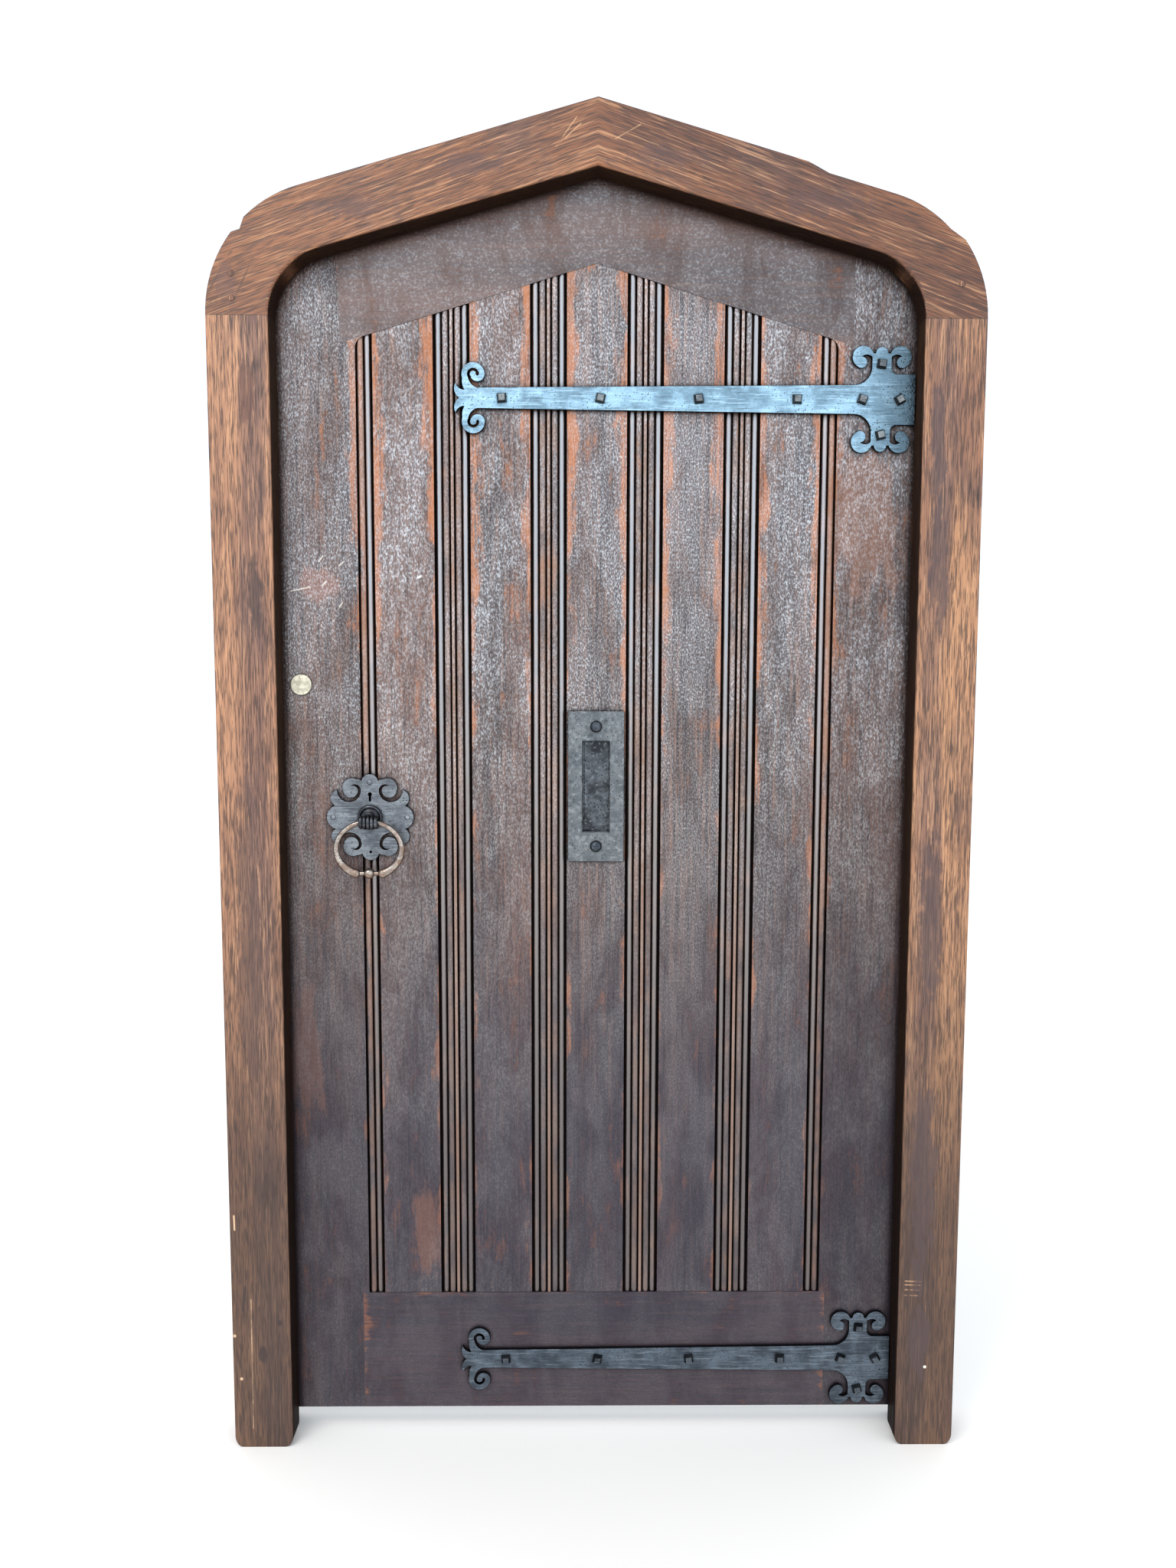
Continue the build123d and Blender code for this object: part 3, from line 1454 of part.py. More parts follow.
with BuildPart() as cover_pin:
    domed_heads(
        [cover_pin_place], cover_play + cover_thickness + cover_play, cover_pin_head,
        cover_pin_radius, cover_pin_radius, cover_pin_reach,
    )
finish(cover_pin, "cover_pin")
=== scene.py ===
import math

import bpy
from mathutils import Matrix, Vector


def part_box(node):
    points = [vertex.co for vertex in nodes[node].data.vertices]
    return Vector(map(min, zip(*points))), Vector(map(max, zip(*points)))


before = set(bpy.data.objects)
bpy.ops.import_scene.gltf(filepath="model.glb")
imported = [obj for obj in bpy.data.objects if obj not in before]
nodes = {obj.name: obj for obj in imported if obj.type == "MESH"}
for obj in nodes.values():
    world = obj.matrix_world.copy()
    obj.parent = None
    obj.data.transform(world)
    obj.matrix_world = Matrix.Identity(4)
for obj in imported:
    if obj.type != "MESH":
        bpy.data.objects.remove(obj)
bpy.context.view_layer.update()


def tint(red, green, blue):
    """A display colour from 0 to 255 as a linear colour."""
    linear = []
    for part in (red, green, blue):
        share = part / 255
        linear.append(share / 12.92 if share <= 0.04045 else ((share + 0.055) / 1.055) ** 2.4)
    return (*linear, 1.0)


# Places on the door in metres: X across, Y from front to back, Z up.
field_half = 0.330
panel_half = 0.0442
moulding_width = 0.0272
rim_width = 0.006
joint_height = 1.712
joint_half = 0.0005
head_slope = 0.36

# Parts of a moulding, counted from the panel beside it.
bead_run = (0.0032, 0.0123)
reed_run = (0.0141, 0.0224)
ridge_run = (0.0251, 0.0290)
quirk_run = (-0.0005, moulding_width)
quirk_depth = (0.0046, 0.0064)
moulding_depth = (0.009, 0.012)
leaf_back = (0.012, 0.020)

# Heights between which the leaf goes from painted shade at its foot to its full colour, and from a weak
# sheen to a strong one.
foot_shade_rise = (0.45, 1.15)
gloss_rise = (0.4, 1.3)

# Waxed oak of the leaf, with painted shade at its foot, painted glints and painted shade in its corners.
wax_dark = tint(73, 57, 53)
wax_brown = tint(104, 77, 67)
wax_streak = tint(148, 107, 84)
wax_groove = tint(50, 41, 41)
wax_pore = tint(37, 31, 32)
wax_foot_shade = tint(44, 41, 55)
wax_glint = tint(248, 253, 255)
wax_occlusion_shade = tint(19, 15, 15)
worn_oak = tint(179, 114, 76)

# Mouldings of the leaf, with painted shade in the quirks and towards the foot, and a painted highlight on
# the ridge.
bead_brown = tint(84, 67, 60)
bead_worn = tint(153, 107, 81)
reed_brown = tint(140, 102, 78)
ridge_wear_and_highlight = tint(161, 125, 104)
moulding_foot_shade = tint(55, 48, 51)
quirk_shade = tint(23, 19, 19)

# Oak of the frame, with painted shade towards its foot and a reveal that is dark and further darkened with
# painted shade.
frame_inner = tint(114, 83, 73)
frame_patch = tint(96, 68, 60)
frame_gold = tint(217, 164, 122)
frame_groove = tint(75, 52, 43)
frame_pore = tint(56, 39, 32)
frame_crack = tint(37, 27, 24)
frame_foot_shade = tint(54, 37, 30)
frame_seam = tint(35, 26, 23)
frame_lining_dark_and_shaded = tint(20, 15, 14)
frame_inner_run = (0.481, 0.517)

# Scales of tool marks on iron, drawn out along a strap or beaten all over.
drawn = (30, 420, 420)
beaten = (170, 170, 170)

# Light and camera.
sky_stops = (
    (0.0, (0.82, 0.90, 1.00, 1)),
    (0.13, (0.80, 0.90, 1.02, 1)),
    (0.30, (0.82, 0.96, 1.12, 1)),
    (0.50, (0.78, 0.87, 0.98, 1)),
    (1.0, (0.76, 0.80, 0.86, 1)),
)
sky_rise = (-0.1, 0.9)
sky_turn = (0.0, -0.8)
sky_strength = (1.3, 1.87)
lamp_place = (-1.9, -2.6, 4.2)
lamp_target = (0, 0, 1.0)
lamp_sides = (2.0, 1.4)
lamp_watts = 66
lamp_colour = (1.0, 0.97, 0.93)
camera_place = (-0.0292, -1.779, 1.2037)
camera_degrees = (5.361, 0.553, -0.1345)
sensor_width = 36.0
focal_length = 27.035
floor_span = 30.0


class Shader:
    """A material's node tree, with short calls for the nodes that it uses."""

    seed_shift = (7.3, 3.1, 5.7)
    occlusion_shade_samples = 6

    def __init__(self, name):
        self.material = bpy.data.materials.new(name)
        self.material.use_nodes = True
        self.tree = self.material.node_tree
        self.tree.nodes.clear()
        self.place = self.node("ShaderNodeTexCoord").outputs["Object"]
        axes = self.node("ShaderNodeSeparateXYZ")
        self.feed(axes.inputs[0], self.place)
        self.x, self.y, self.z = axes.outputs
        normal = self.node("ShaderNodeSeparateXYZ")
        self.feed(normal.inputs[0], self.node("ShaderNodeNewGeometry").outputs["Normal"])
        self.nx, self.ny, self.nz = normal.outputs

    def node(self, kind, **settings):
        made = self.tree.nodes.new(kind)
        for key, value in settings.items():
            setattr(made, key, value)
        return made

    def feed(self, socket, value):
        """Link an output to a socket, or set a plain value on it."""
        if isinstance(value, bpy.types.NodeSocket):
            self.tree.links.new(value, socket)
        else:
            socket.default_value = value

    def math(self, kind, a, b=0.0):
        made = self.node("ShaderNodeMath", operation=kind)
        self.feed(made.inputs[0], a)
        self.feed(made.inputs[1], b)
        return made.outputs[0]

    def times(self, *values):
        product = values[0]
        for value in values[1:]:
            product = self.math("MULTIPLY", product, value)
        return product

    def plus(self, *values):
        total = values[0]
        for value in values[1:]:
            total = self.math("ADD", total, value)
        return total

    def minus(self, a, b):
        return self.math("SUBTRACT", a, b)

    def rest(self, share):
        """What a share leaves of one."""
        return self.minus(1.0, share)

    def most(self, a, b):
        return self.math("MAXIMUM", a, b)

    def size(self, value):
        return self.math("ABSOLUTE", value)

    def stretch(self, scale, seed):
        made = self.node("ShaderNodeMapping")
        self.feed(made.inputs["Vector"], self.place)
        made.inputs["Location"].default_value = [seed * shift for shift in self.seed_shift]
        made.inputs["Scale"].default_value = scale
        return made.outputs[0]

    def noise(self, scale, seed, detail=2.0, roughness=0.5, distortion=0.0):
        made = self.node("ShaderNodeTexNoise")
        self.feed(made.inputs["Vector"], self.stretch(scale, seed))
        made.inputs["Scale"].default_value = 1.0
        made.inputs["Detail"].default_value = detail
        made.inputs["Roughness"].default_value = roughness
        made.inputs["Distortion"].default_value = distortion
        return made.outputs["Fac"]

    def cells(self, scale, seed):
        made = self.node("ShaderNodeTexVoronoi")
        self.feed(made.inputs["Vector"], self.stretch(scale, seed))
        made.inputs["Scale"].default_value = 1.0
        return made.outputs["Distance"]

    def step(self, value, low, high, to_low=0.0, to_high=1.0):
        """A smooth way from to_low at low to to_high at high."""
        made = self.node("ShaderNodeMapRange", interpolation_type="SMOOTHSTEP")
        self.feed(made.inputs["Value"], value)
        made.inputs["From Min"].default_value = low
        made.inputs["From Max"].default_value = high
        made.inputs["To Min"].default_value = to_low
        made.inputs["To Max"].default_value = to_high
        return made.outputs[0]

    def band(self, value, low, high, soft):
        """One between low and high, nought outside."""
        rise = self.step(value, low - soft, low + soft)
        fall = self.step(value, high - soft, high + soft, 1.0, 0.0)
        return self.times(rise, fall)

    def blot(self, x, z, half_width, half_height, ragged):
        """One inside an oval with a ragged edge on the face of the door."""
        across = self.math("DIVIDE", self.minus(self.x, x), half_width)
        up = self.math("DIVIDE", self.minus(self.z, z), half_height)
        away = self.math("SQRT", self.plus(self.times(across, across), self.times(up, up)))
        return self.step(self.plus(away, ragged), 0.6, 1.0, 1.0, 0.0)

    def scratch(self, start, end, half):
        """One along a straight thin mark on the face of the door."""
        run = (end[0] - start[0], end[1] - start[1])
        length = math.hypot(*run)
        across = self.minus(self.x, start[0])
        up = self.minus(self.z, start[1])
        on = self.plus(self.times(across, run[0] / length), self.times(up, run[1] / length))
        off = self.plus(self.times(across, run[1] / length), self.times(up, -run[0] / length))
        near = self.step(self.size(off), half * 0.4, half, 1.0, 0.0)
        return self.times(near, self.band(on, 0.0, length, half))

    def occlusion_shade(self, reach):
        """A mask for painted shade: one in corners and beside raised edges, nought on open faces."""
        made = self.node("ShaderNodeAmbientOcclusion", samples=self.occlusion_shade_samples)
        made.inputs["Distance"].default_value = reach
        return self.step(made.outputs["AO"], 0.5, 0.96, 1.0, 0.0)

    def mix(self, share, a, b):
        """Colour a turning into colour b. The mix node's colour sockets come after its other kinds."""
        made = self.node("ShaderNodeMix", data_type="RGBA")
        self.feed(made.inputs[0], share)
        self.feed(made.inputs[6], a)
        self.feed(made.inputs[7], b)
        return made.outputs[2]

    def bump(self, height, strength, distance):
        made = self.node("ShaderNodeBump")
        made.inputs["Strength"].default_value = strength
        made.inputs["Distance"].default_value = distance
        self.feed(made.inputs["Height"], height)
        return made.outputs[0]

    def surface(self, colour, roughness, normal=None, metallic=0.0, specular=0.5):
        made = self.node("ShaderNodeBsdfPrincipled")
        self.feed(made.inputs["Base Color"], colour)
        self.feed(made.inputs["Roughness"], roughness)
        self.feed(made.inputs["Metallic"], metallic)
        self.feed(made.inputs["Specular IOR Level"], specular)
        if normal is not None:
            self.feed(made.inputs["Normal"], normal)
        out = self.node("ShaderNodeOutputMaterial")
        self.feed(out.inputs["Surface"], made.outputs[0])
        return self.material


def along(axis, across, lengthwise):
    """Scales of a grain that runs along Z or along X."""
    return (lengthwise, across, across) if axis == "x" else (across, across, lengthwise)


def leaf_oak(name, axis, seed, moulding=None, edge=None, marks=None, grain=1.0, shine=1.0):
    """Dark waxed oak of the leaf: a pale sheen in patches above with painted glints on the pores,
    orange-brown where it is worn, and painted shade at its foot and in corners.
    """
    s = Shader(name)
    upright = axis == "z"
    broad = s.noise(along(axis, 12, 1.5), seed, 2.0)
    streak = s.noise(along(axis, 260, 9), seed + 1, 3.0, 0.6)
    fibre = s.noise(along(axis, 760, 60), seed + 2, 2.0)
    cloud = s.noise((17, 17, 7), seed + 3, 4.0, 0.65, 0.4)
    wear = s.noise(along(axis, 44, 11), seed + 4, 5.0, 0.7)
    fleck = s.noise((520, 520, 270) if upright else (330, 330, 330), seed + 5, 2.0)
    foot = s.step(s.z, *foot_shade_rise, 1.0, 0.0)

    colour = s.mix(s.step(broad, 0.35, 0.65), wax_dark, wax_brown)
    colour = s.mix(s.step(streak, 0.5, 0.7, 0.0, 0.5 * grain), colour, wax_streak)
    colour = s.mix(s.step(streak, 0.3, 0.48, 0.7 * grain, 0.0), colour, wax_groove)
    # Painted shade: darker and bluer towards the foot of the leaf, where less light reaches.
    colour = s.mix(s.times(foot, 0.8), colour, wax_foot_shade)
    colour = s.mix(s.step(fibre, 0.34, 0.52, 0.5 * grain, 0.0), colour, wax_pore)
    worn = worn_places(s, grain, edge, wear, cloud, streak)
    colour = s.mix(s.times(worn, 0.9), colour, worn_oak)
    # Painted glints: pale flecks on the pores, standing in for highlights of the sky, in the sheen patches
    # and higher up.
    painted_glint = s.times(s.step(fleck, 0.56, 0.7), s.step(cloud, 0.42, 0.6, 0.25, 1.0), grain)
    painted_glint = s.times(painted_glint, s.step(s.z, 0.75, 1.3, 0.08, 1.0), s.step(worn, 0.2, 0.7, 1.0, 0.4))
    colour = s.mix(s.times(painted_glint, 0.34), colour, wax_glint)
    if shine < 1.0:
        colour = s.mix(1.0 - shine, colour, wax_pore)

    rough = s.plus(s.step(streak, 0.35, 0.65, 0.3, 0.4), s.times(worn, 0.14))
    rough = s.plus(rough, s.step(cloud, 0.4, 0.62, 0.06, -0.05))
    gloss = s.times(wax_gloss(s, upright, cloud, fleck, streak, worn, foot), shine)
    if moulding is not None:
        colour, rough, gloss = moulded(s, colour, rough, gloss, moulding, wear)
    if marks is not None:
        colour = marks(s, colour, s.times(s.minus(wear, 0.5), 3.0))
    # Painted shade: darker and less glossy in corners and beside raised edges.
    shade = s.occlusion_shade(0.013)
    colour = s.mix(s.times(shade, 0.9), colour, wax_occlusion_shade)
    gloss = s.times(gloss, s.rest(shade))
    height = s.plus(s.times(fibre, 0.6), s.times(streak, 0.7), s.times(fleck, 0.4))
    normal = s.bump(height, 0.3 * grain + 0.05, 0.001)
    return s.surface(colour, rough, normal, specular=gloss)


def worn_places(s, grain, edge, wear, cloud, streak):
    """One where the wax is worn off, in patches and along the given edges, most of all above."""
    patches = s.times(s.step(wear, 0.5, 0.62), s.step(cloud, 0.36, 0.46, 1.0, 0.0))
    worn = s.times(patches, s.step(s.z, 0.9, 1.5, 0.2, 0.85), 0.3 + 0.7 * grain)
    if edge is not None:
        ragged = s.times(s.minus(wear, 0.5), 0.075)
        upper = s.step(s.z, 1.0, 1.6)
        rim = s.step(s.plus(edge(s), ragged, s.times(upper, 0.013)), -0.003, 0.007)
        worn = s.most(worn, s.times(rim, s.step(s.z, 0.3, 1.4, 0.4, 0.95)))
    return s.times(worn, s.step(streak, 0.36, 0.56, 0.35, 1.0))


def wax_gloss(s, upright, cloud, fleck, streak, worn, foot):
    """Sheen of the wax, broken by the pores, weaker where it is worn and calmer at the foot."""
    if upright:
        sheen = s.step(cloud, 0.36, 0.62, 0.7, 1.4)
        pores = s.times(s.step(fleck, 0.38, 0.64, 0.4, 1.45), s.step(streak, 0.3, 0.5, 0.7, 1.05))
    else:
        sheen = s.step(cloud, 0.34, 0.64, 0.38, 0.78)
        pores = s.step(fleck, 0.38, 0.64, 0.75, 1.2)
    calm = s.times(foot, 0.65)
    pores = s.plus(s.times(pores, s.rest(calm)), s.times(calm, 0.85))
    gloss = s.most(s.times(s.plus(sheen, s.times(worn, -0.4)), pores), 0.08)
    return s.times(gloss, s.step(s.z, *gloss_rise, 0.7, 1.65))


def moulded(s, colour, rough, gloss, middle, wear):
    """A moulding's tones: quirks painted black as shade, a dark shining bead, a worn brown reed, a thin
    ridge painted lighter as worn wood and highlight, and painted shade towards the foot.
    """
    if middle == "stile":
        run = s.minus(s.size(s.x), field_half)
    else:
        run = s.minus(moulding_width, s.size(s.minus(s.x, middle)))
    front = s.step(s.y, *moulding_depth, 1.0, 0.0)
    bead = s.times(s.band(run, *bead_run, 0.0004), front)
    reed = s.times(s.band(run, *reed_run, 0.0004), front)
    # Painted shade: black at the bottom of the quirks, where the grooves are deep, with no reflections
    # there.
    deep_shade = s.times(s.step(s.y, *quirk_depth), front, s.band(run, *quirk_run, 0.0008))
    # Painted shade: the bead and reed darken towards the foot of the leaf.
    dim = s.step(s.z, 0.4, 1.2, 0.45, 0.0)
    colour = s.mix(s.times(bead, 0.85), colour, bead_brown)
    colour = s.mix(s.times(bead, s.step(wear, 0.54, 0.66, 0.0, 0.5)), colour, bead_worn)
    colour = s.mix(s.times(reed, s.step(wear, 0.44, 0.6, 0.1, 0.65)), colour, reed_brown)
    colour = s.mix(s.times(s.most(bead, reed), dim), colour, moulding_foot_shade)
    if middle != "stile":
        # The thin ridge is painted lighter: partly worn wood, partly a painted highlight.
        ridge = s.times(s.band(run, *ridge_run, 0.0003), front)
        colour = s.mix(s.times(ridge, 0.6), colour, ridge_wear_and_highlight)
    rough = s.plus(rough, s.times(bead, -0.14))
    bead_gloss = s.times(bead, s.step(s.z, *gloss_rise, 1.4, 4.0))
    gloss = s.plus(s.times(gloss, s.rest(bead)), bead_gloss, s.times(reed, 0.4))
    gloss = s.times(gloss, s.rest(deep_shade))
    return s.mix(s.times(deep_shade, 0.9), colour, quirk_shade), rough, gloss


def panel_edge(middle):
    """Distance past a panel's long edges, below nought inside them."""
    def past(s):
        return s.minus(s.size(s.minus(s.x, middle)), panel_half)
    return past


def rail_edge(s):
    """Distance past the shoulders and the top of the bottom rail, below nought inside them."""
    beyond = s.minus(s.size(s.x), field_half + moulding_width)
    above = s.minus(s.z, float(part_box("bottom_rail")[1][2]))
    return s.minus(s.most(beyond, above), 0.004)


def stile_edge(s):
    """Distance past the outer side of a stile's moulding, below nought away from it and at the back."""
    past = s.minus(field_half + moulding_width - rim_width, s.size(s.x))
    return s.minus(past, s.step(s.y, *leaf_back))


def lock_marks(s, colour, ragged):
    """Scratches and reddish stains on the lock stile."""
    half = 0.0015
    pale = s.scratch((-0.456, 1.325), (-0.427, 1.331), half)
    for start, end in (
        ((-0.414, 1.368), (-0.407, 1.377)),
        ((-0.384, 1.362), (-0.376, 1.369)),
        ((-0.409, 1.333), (-0.402, 1.340)),
        ((-0.384, 1.301), (-0.379, 1.309)),
    ):
        pale = s.most(pale, s.scratch(start, end, half))
    upper_stain = s.blot(-0.411, 1.335, 0.036, 0.03, ragged)
    lower_stain = s.blot(-0.450, 0.62, 0.03, 0.12, ragged)
    colour = s.mix(s.times(upper_stain, 0.45), colour, tint(148, 94, 71))
    colour = s.mix(s.times(lower_stain, 0.35), colour, tint(117, 78, 63))
    return s.mix(s.times(pale, 0.45), colour, tint(255, 245, 225))


def plug_marks(s, colour, ragged):
    """Two filled holes, a nick and a worn place on the first panel."""
    plug_radius = 0.0062
    for z in (1.547, 1.516):
        plug = s.blot(-0.296, z, plug_radius, plug_radius, 0.0)
        colour = s.mix(plug, colour, tint(94, 63, 48))
    nick = s.scratch((-0.267, 1.345), (-0.261, 1.348), 0.002)
    worn = s.blot(-0.262, 0.33, 0.026, 0.08, ragged)
    colour = s.mix(s.times(worn, 0.45), colour, tint(127, 84, 66))
    return s.mix(s.times(nick, 0.8), colour, tint(255, 255, 248))


def stile_marks(s, colour, ragged):
    """Worn ground below the crosshead of the upper hinge front."""
    worn = s.blot(0.40, 1.44, 0.06, 0.11, ragged)
    return s.mix(s.times(worn, 0.3), colour, tint(163, 109, 78))


def sloped(s):
    """Places with the head's two slopes laid level, so that its grain follows them."""
    level = s.node("ShaderNodeCombineXYZ")
    s.feed(level.inputs[0], s.x)
    s.feed(level.inputs[1], s.y)
    s.feed(level.inputs[2], s.plus(s.z, s.times(s.size(s.x), head_slope)))
    return level.outputs[0]


def frame_oak(name, axis, seed, dark, light, marks=None):
    """Warm oak of the frame, golden outside, purple-brown inside, with painted shade towards the foot and a
    reveal that is dark and darkened almost to black with painted shade.
    """
    s = Shader(name)
    if axis == "x":
        s.place = sloped(s)
    broad = s.noise(along(axis, 14, 2.2), seed, 3.0, 0.55, 0.3)
    streak = s.noise(along(axis, 300, 9), seed + 1, 3.0, 0.6)
    fibre = s.noise(along(axis, 700, 40), seed + 2, 2.0)
    patch = s.noise((10, 10, 5), seed + 3, 5.0, 0.65, 0.6)
    drift = s.noise(along(axis, 45, 0.9), seed + 4, 3.0)

    colour = s.mix(s.step(broad, 0.34, 0.66), tint(*dark), tint(*light))
    if axis == "z":
        reach = s.plus(s.size(s.x), s.times(s.minus(broad, 0.5), 0.05))
        inner = s.times(s.band(reach, *frame_inner_run, 0.008), s.step(patch, 0.3, 0.6, 0.3, 0.85))
        colour = s.mix(inner, colour, frame_inner)
    colour = s.mix(s.step(patch, 0.5, 0.7, 0.0, 0.6), colour, frame_patch)
    colour = s.mix(s.step(streak, 0.5, 0.7, 0.0, 0.5), colour, frame_gold)
    colour = s.mix(s.step(streak, 0.3, 0.48, 0.65, 0.0), colour, frame_groove)
    colour = s.mix(s.step(fibre, 0.36, 0.56, 0.75, 0.0), colour, frame_pore)
    split = s.step(s.size(s.minus(drift, 0.5)), 0.001, 0.004, 1.0, 0.0)
    cracks = s.times(split, s.step(patch, 0.48, 0.6))
    colour = s.mix(s.times(cracks, 0.65), colour, frame_crack)
    # Painted shade: darker towards the bottom of the frame, where less light reaches.
    colour = s.mix(s.step(s.z, 0.3, 1.0, 0.75, 0.0), colour, frame_foot_shade)
    if marks is not None:
        ragged = s.times(s.minus(s.noise((60, 60, 24), seed + 5, 4.0, 0.7), 0.5), 2.6)
        colour = marks(s, colour, ragged)
    seam = s.band(s.z, joint_height - joint_half, joint_height + joint_half, 0.0008)
    colour = s.mix(s.times(seam, 0.7), colour, frame_seam)
    # Painted shade: faces turned into the opening and the underside of the head are darkened almost to
    # black, partly their own dark stain, and lose their reflections.
    inward = s.times(s.math("SIGN", s.x), s.nx, -1.0)
    lining_dark_and_shaded = s.most(s.step(inward, 0.5, 0.9), s.step(s.nz, -0.85, -0.5, 1.0, 0.0))
    colour = s.mix(s.times(lining_dark_and_shaded, 0.93), colour, frame_lining_dark_and_shaded)

    height = s.plus(s.times(fibre, 0.5), s.times(streak, 0.8), s.times(cracks, -1.5))
    normal = s.bump(height, 0.45, 0.0016)
    rough = s.step(streak, 0.3, 0.7, 0.44, 0.58)
    return s.surface(colour, rough, normal, specular=s.step(lining_dark_and_shaded, 0.0, 1.0, 0.5, 0.02))


def left_jamb_marks(s, colour, ragged):
    """Knots, stained stretches, a gouge, a split and nail heads on the left jamb."""
    for share, shade, x, z, half_width, half_height in (
        (0.8, (53, 37, 37), -0.512, 0.152, 0.009, 0.02),
        (0.8, (53, 37, 37), -0.486, 0.203, 0.005, 0.006),
        (0.7, (66, 49, 44), -0.499, 1.315, 0.012, 0.055),
        (0.6, (89, 55, 45), -0.503, 1.605, 0.014, 0.05),
        (0.5, (86, 63, 55), -0.52, 0.8, 0.02, 0.28),
    ):
        stain = s.blot(x, z, half_width, half_height, ragged)
        colour = s.mix(s.times(stain, share), colour, tint(*shade))
    gouge = s.scratch((-0.544, 0.222), (-0.539, 0.262), 0.003)
    colour = s.mix(s.times(gouge, 0.7), colour, tint(48, 36, 35))
    split = s.scratch((-0.5305, 0.241), (-0.5315, 0.03), 0.0012)
    pale = s.times(split, s.step(ragged, -0.4, 0.4, 0.1, 0.7))
    pale = s.most(pale, s.scratch((-0.553, 0.352), (-0.5535, 0.376), 0.0018))
    nail_radius = 0.003
    for x, z in ((-0.557, 0.182), (-0.548, 0.112)):
        pale = s.most(pale, s.blot(x, z, nail_radius, nail_radius, 0.0))
    return s.mix(s.times(pale, 0.7), colour, tint(245, 202, 161))


def right_jamb_marks(s, colour, ragged):
    """Sooty stretches, saw marks and a nail head on the right jamb."""
    for x, z, half_width, half_height in (
        (0.493, 1.53, 0.014, 0.09),
        (0.500, 1.36, 0.016, 0.12),
        (0.503, 0.83, 0.018, 0.16),
        (0.505, 0.42, 0.022, 0.18),
        (0.507, 0.17, 0.02, 0.06),
    ):
        soot = s.blot(x, z, half_width, half_height, ragged)
        colour = s.mix(s.times(soot, 0.65), colour, tint(78, 60, 59))
    for z in (0.268, 0.262, 0.254, 0.245):
        saw = s.scratch((0.480, z), (0.506, z - 0.001), 0.0014)
        saw = s.times(saw, s.step(ragged, -0.4, 0.3, 0.0, 0.6))
        colour = s.mix(saw, colour, tint(209, 161, 122))
    nail_radius = 0.003
    nail = s.blot(0.515, 0.128, nail_radius, nail_radius, 0.0)
    return s.mix(s.times(nail, 0.85), colour, tint(255, 243, 222))


def head_marks(s, colour, ragged):
    """Dark patches, axe strokes on the left shoulder and pale scratches under the peak."""
    for x, z, half_width, half_height in (
        (-0.181, 1.919, 0.05, 0.018),
        (0.096, 1.931, 0.07, 0.016),
        (0.32, 1.869, 0.07, 0.02),
        (-0.35, 1.86, 0.06, 0.014),
        (-0.53, 1.75, 0.02, 0.03),
    ):
        patch = s.blot(x, z, half_width, half_height, ragged)
        colour = s.mix(s.times(patch, 0.4), colour, tint(84, 60, 58))
    for start, end in (
        ((-0.552, 1.748), (-0.520, 1.800)),
        ((-0.520, 1.728), (-0.490, 1.792)),
    ):
        stroke = s.times(s.scratch(start, end, 0.002), s.step(ragged, -0.4, 0.3, 0.0, 0.6))
        colour = s.mix(stroke, colour, tint(66, 46, 40))
    for start, end in (
        ((-0.030, 1.985), (-0.052, 1.955)),
        ((-0.024, 1.976), (-0.060, 1.944)),
        ((0.024, 1.955), (0.060, 1.975)),
    ):
        stroke = s.times(s.scratch(start, end, 0.0011), s.step(ragged, -0.5, 0.2, 0.05, 0.4))
        colour = s.mix(stroke, colour, tint(248, 194, 143))
    return colour


def iron(name, seed, low, high, metallic, rough, dents=0.25, rust=None, brushed=drawn, side_shading=1.0,
         hinge_shadow=None):
    """Forged iron with hammer marks, tool marks and pits, painted shade on its sides and beside raised
    edges, and a painted shadow towards the hinge where one is given.
    """
    def darker(part):
        return tint(*[value // part for value in low])

    s = Shader(name)
    cloud = s.noise((34, 34, 34), seed, 4.0, 0.6)
    brush = s.noise(brushed, seed + 1, 2.0)
    pits = s.cells((230, 230, 230), seed + 2)
    hammer = s.noise((120, 120, 150), seed + 3, 3.0, 0.6)
    bright = tint(*[min(255, value + 40) for value in high])
    colour = s.mix(s.step(cloud, 0.34, 0.66), tint(*low), tint(*high))
    colour = s.mix(s.step(brush, 0.54, 0.7, 0.0, 0.45), colour, bright)
    colour = s.mix(s.step(brush, 0.28, 0.42, 0.5, 0.0), colour, darker(2))
    pitted = s.times(s.step(pits, 0.1, 0.28, 1.0, 0.0), s.step(cloud, 0.4, 0.6, 0.2, 0.9))
    colour = s.mix(pitted, colour, darker(4))
    # Painted shade: faces turned away from the front are darkened.
    side = s.step(s.ny, -0.85, -0.4, 0.0, 0.85)
    colour = s.mix(s.times(side, side_shading), colour, darker(4))
    # Painted shadow: darker towards the hinge side where a run is given, as if the jamb shaded it.
    if hinge_shadow is not None:
        shadow_reach = s.plus(s.x, s.times(s.minus(cloud, 0.5), 0.08))
        colour = s.mix(s.step(shadow_reach, *hinge_shadow, 0.0, 0.8), colour, darker(3))
    if rust is not None:
        stain = s.noise((70, 70, 70), seed + 4, 4.0, 0.6)
        colour = s.mix(s.step(stain, 0.42, 0.6, 0.0, 0.85), colour, tint(*rust))
    # Painted shade on the iron in hollows and beside raised edges.
    colour = s.mix(s.times(s.occlusion_shade(0.005), 0.8), colour, darker(6))
    height = s.plus(hammer, s.times(cloud, 0.6), s.times(pitted, -0.5))
    normal = s.bump(height, dents, 0.002)
    roughness = s.step(hammer, 0.3, 0.7, rough - 0.08, rough + 0.12)
    return s.surface(colour, roughness, normal, metallic)


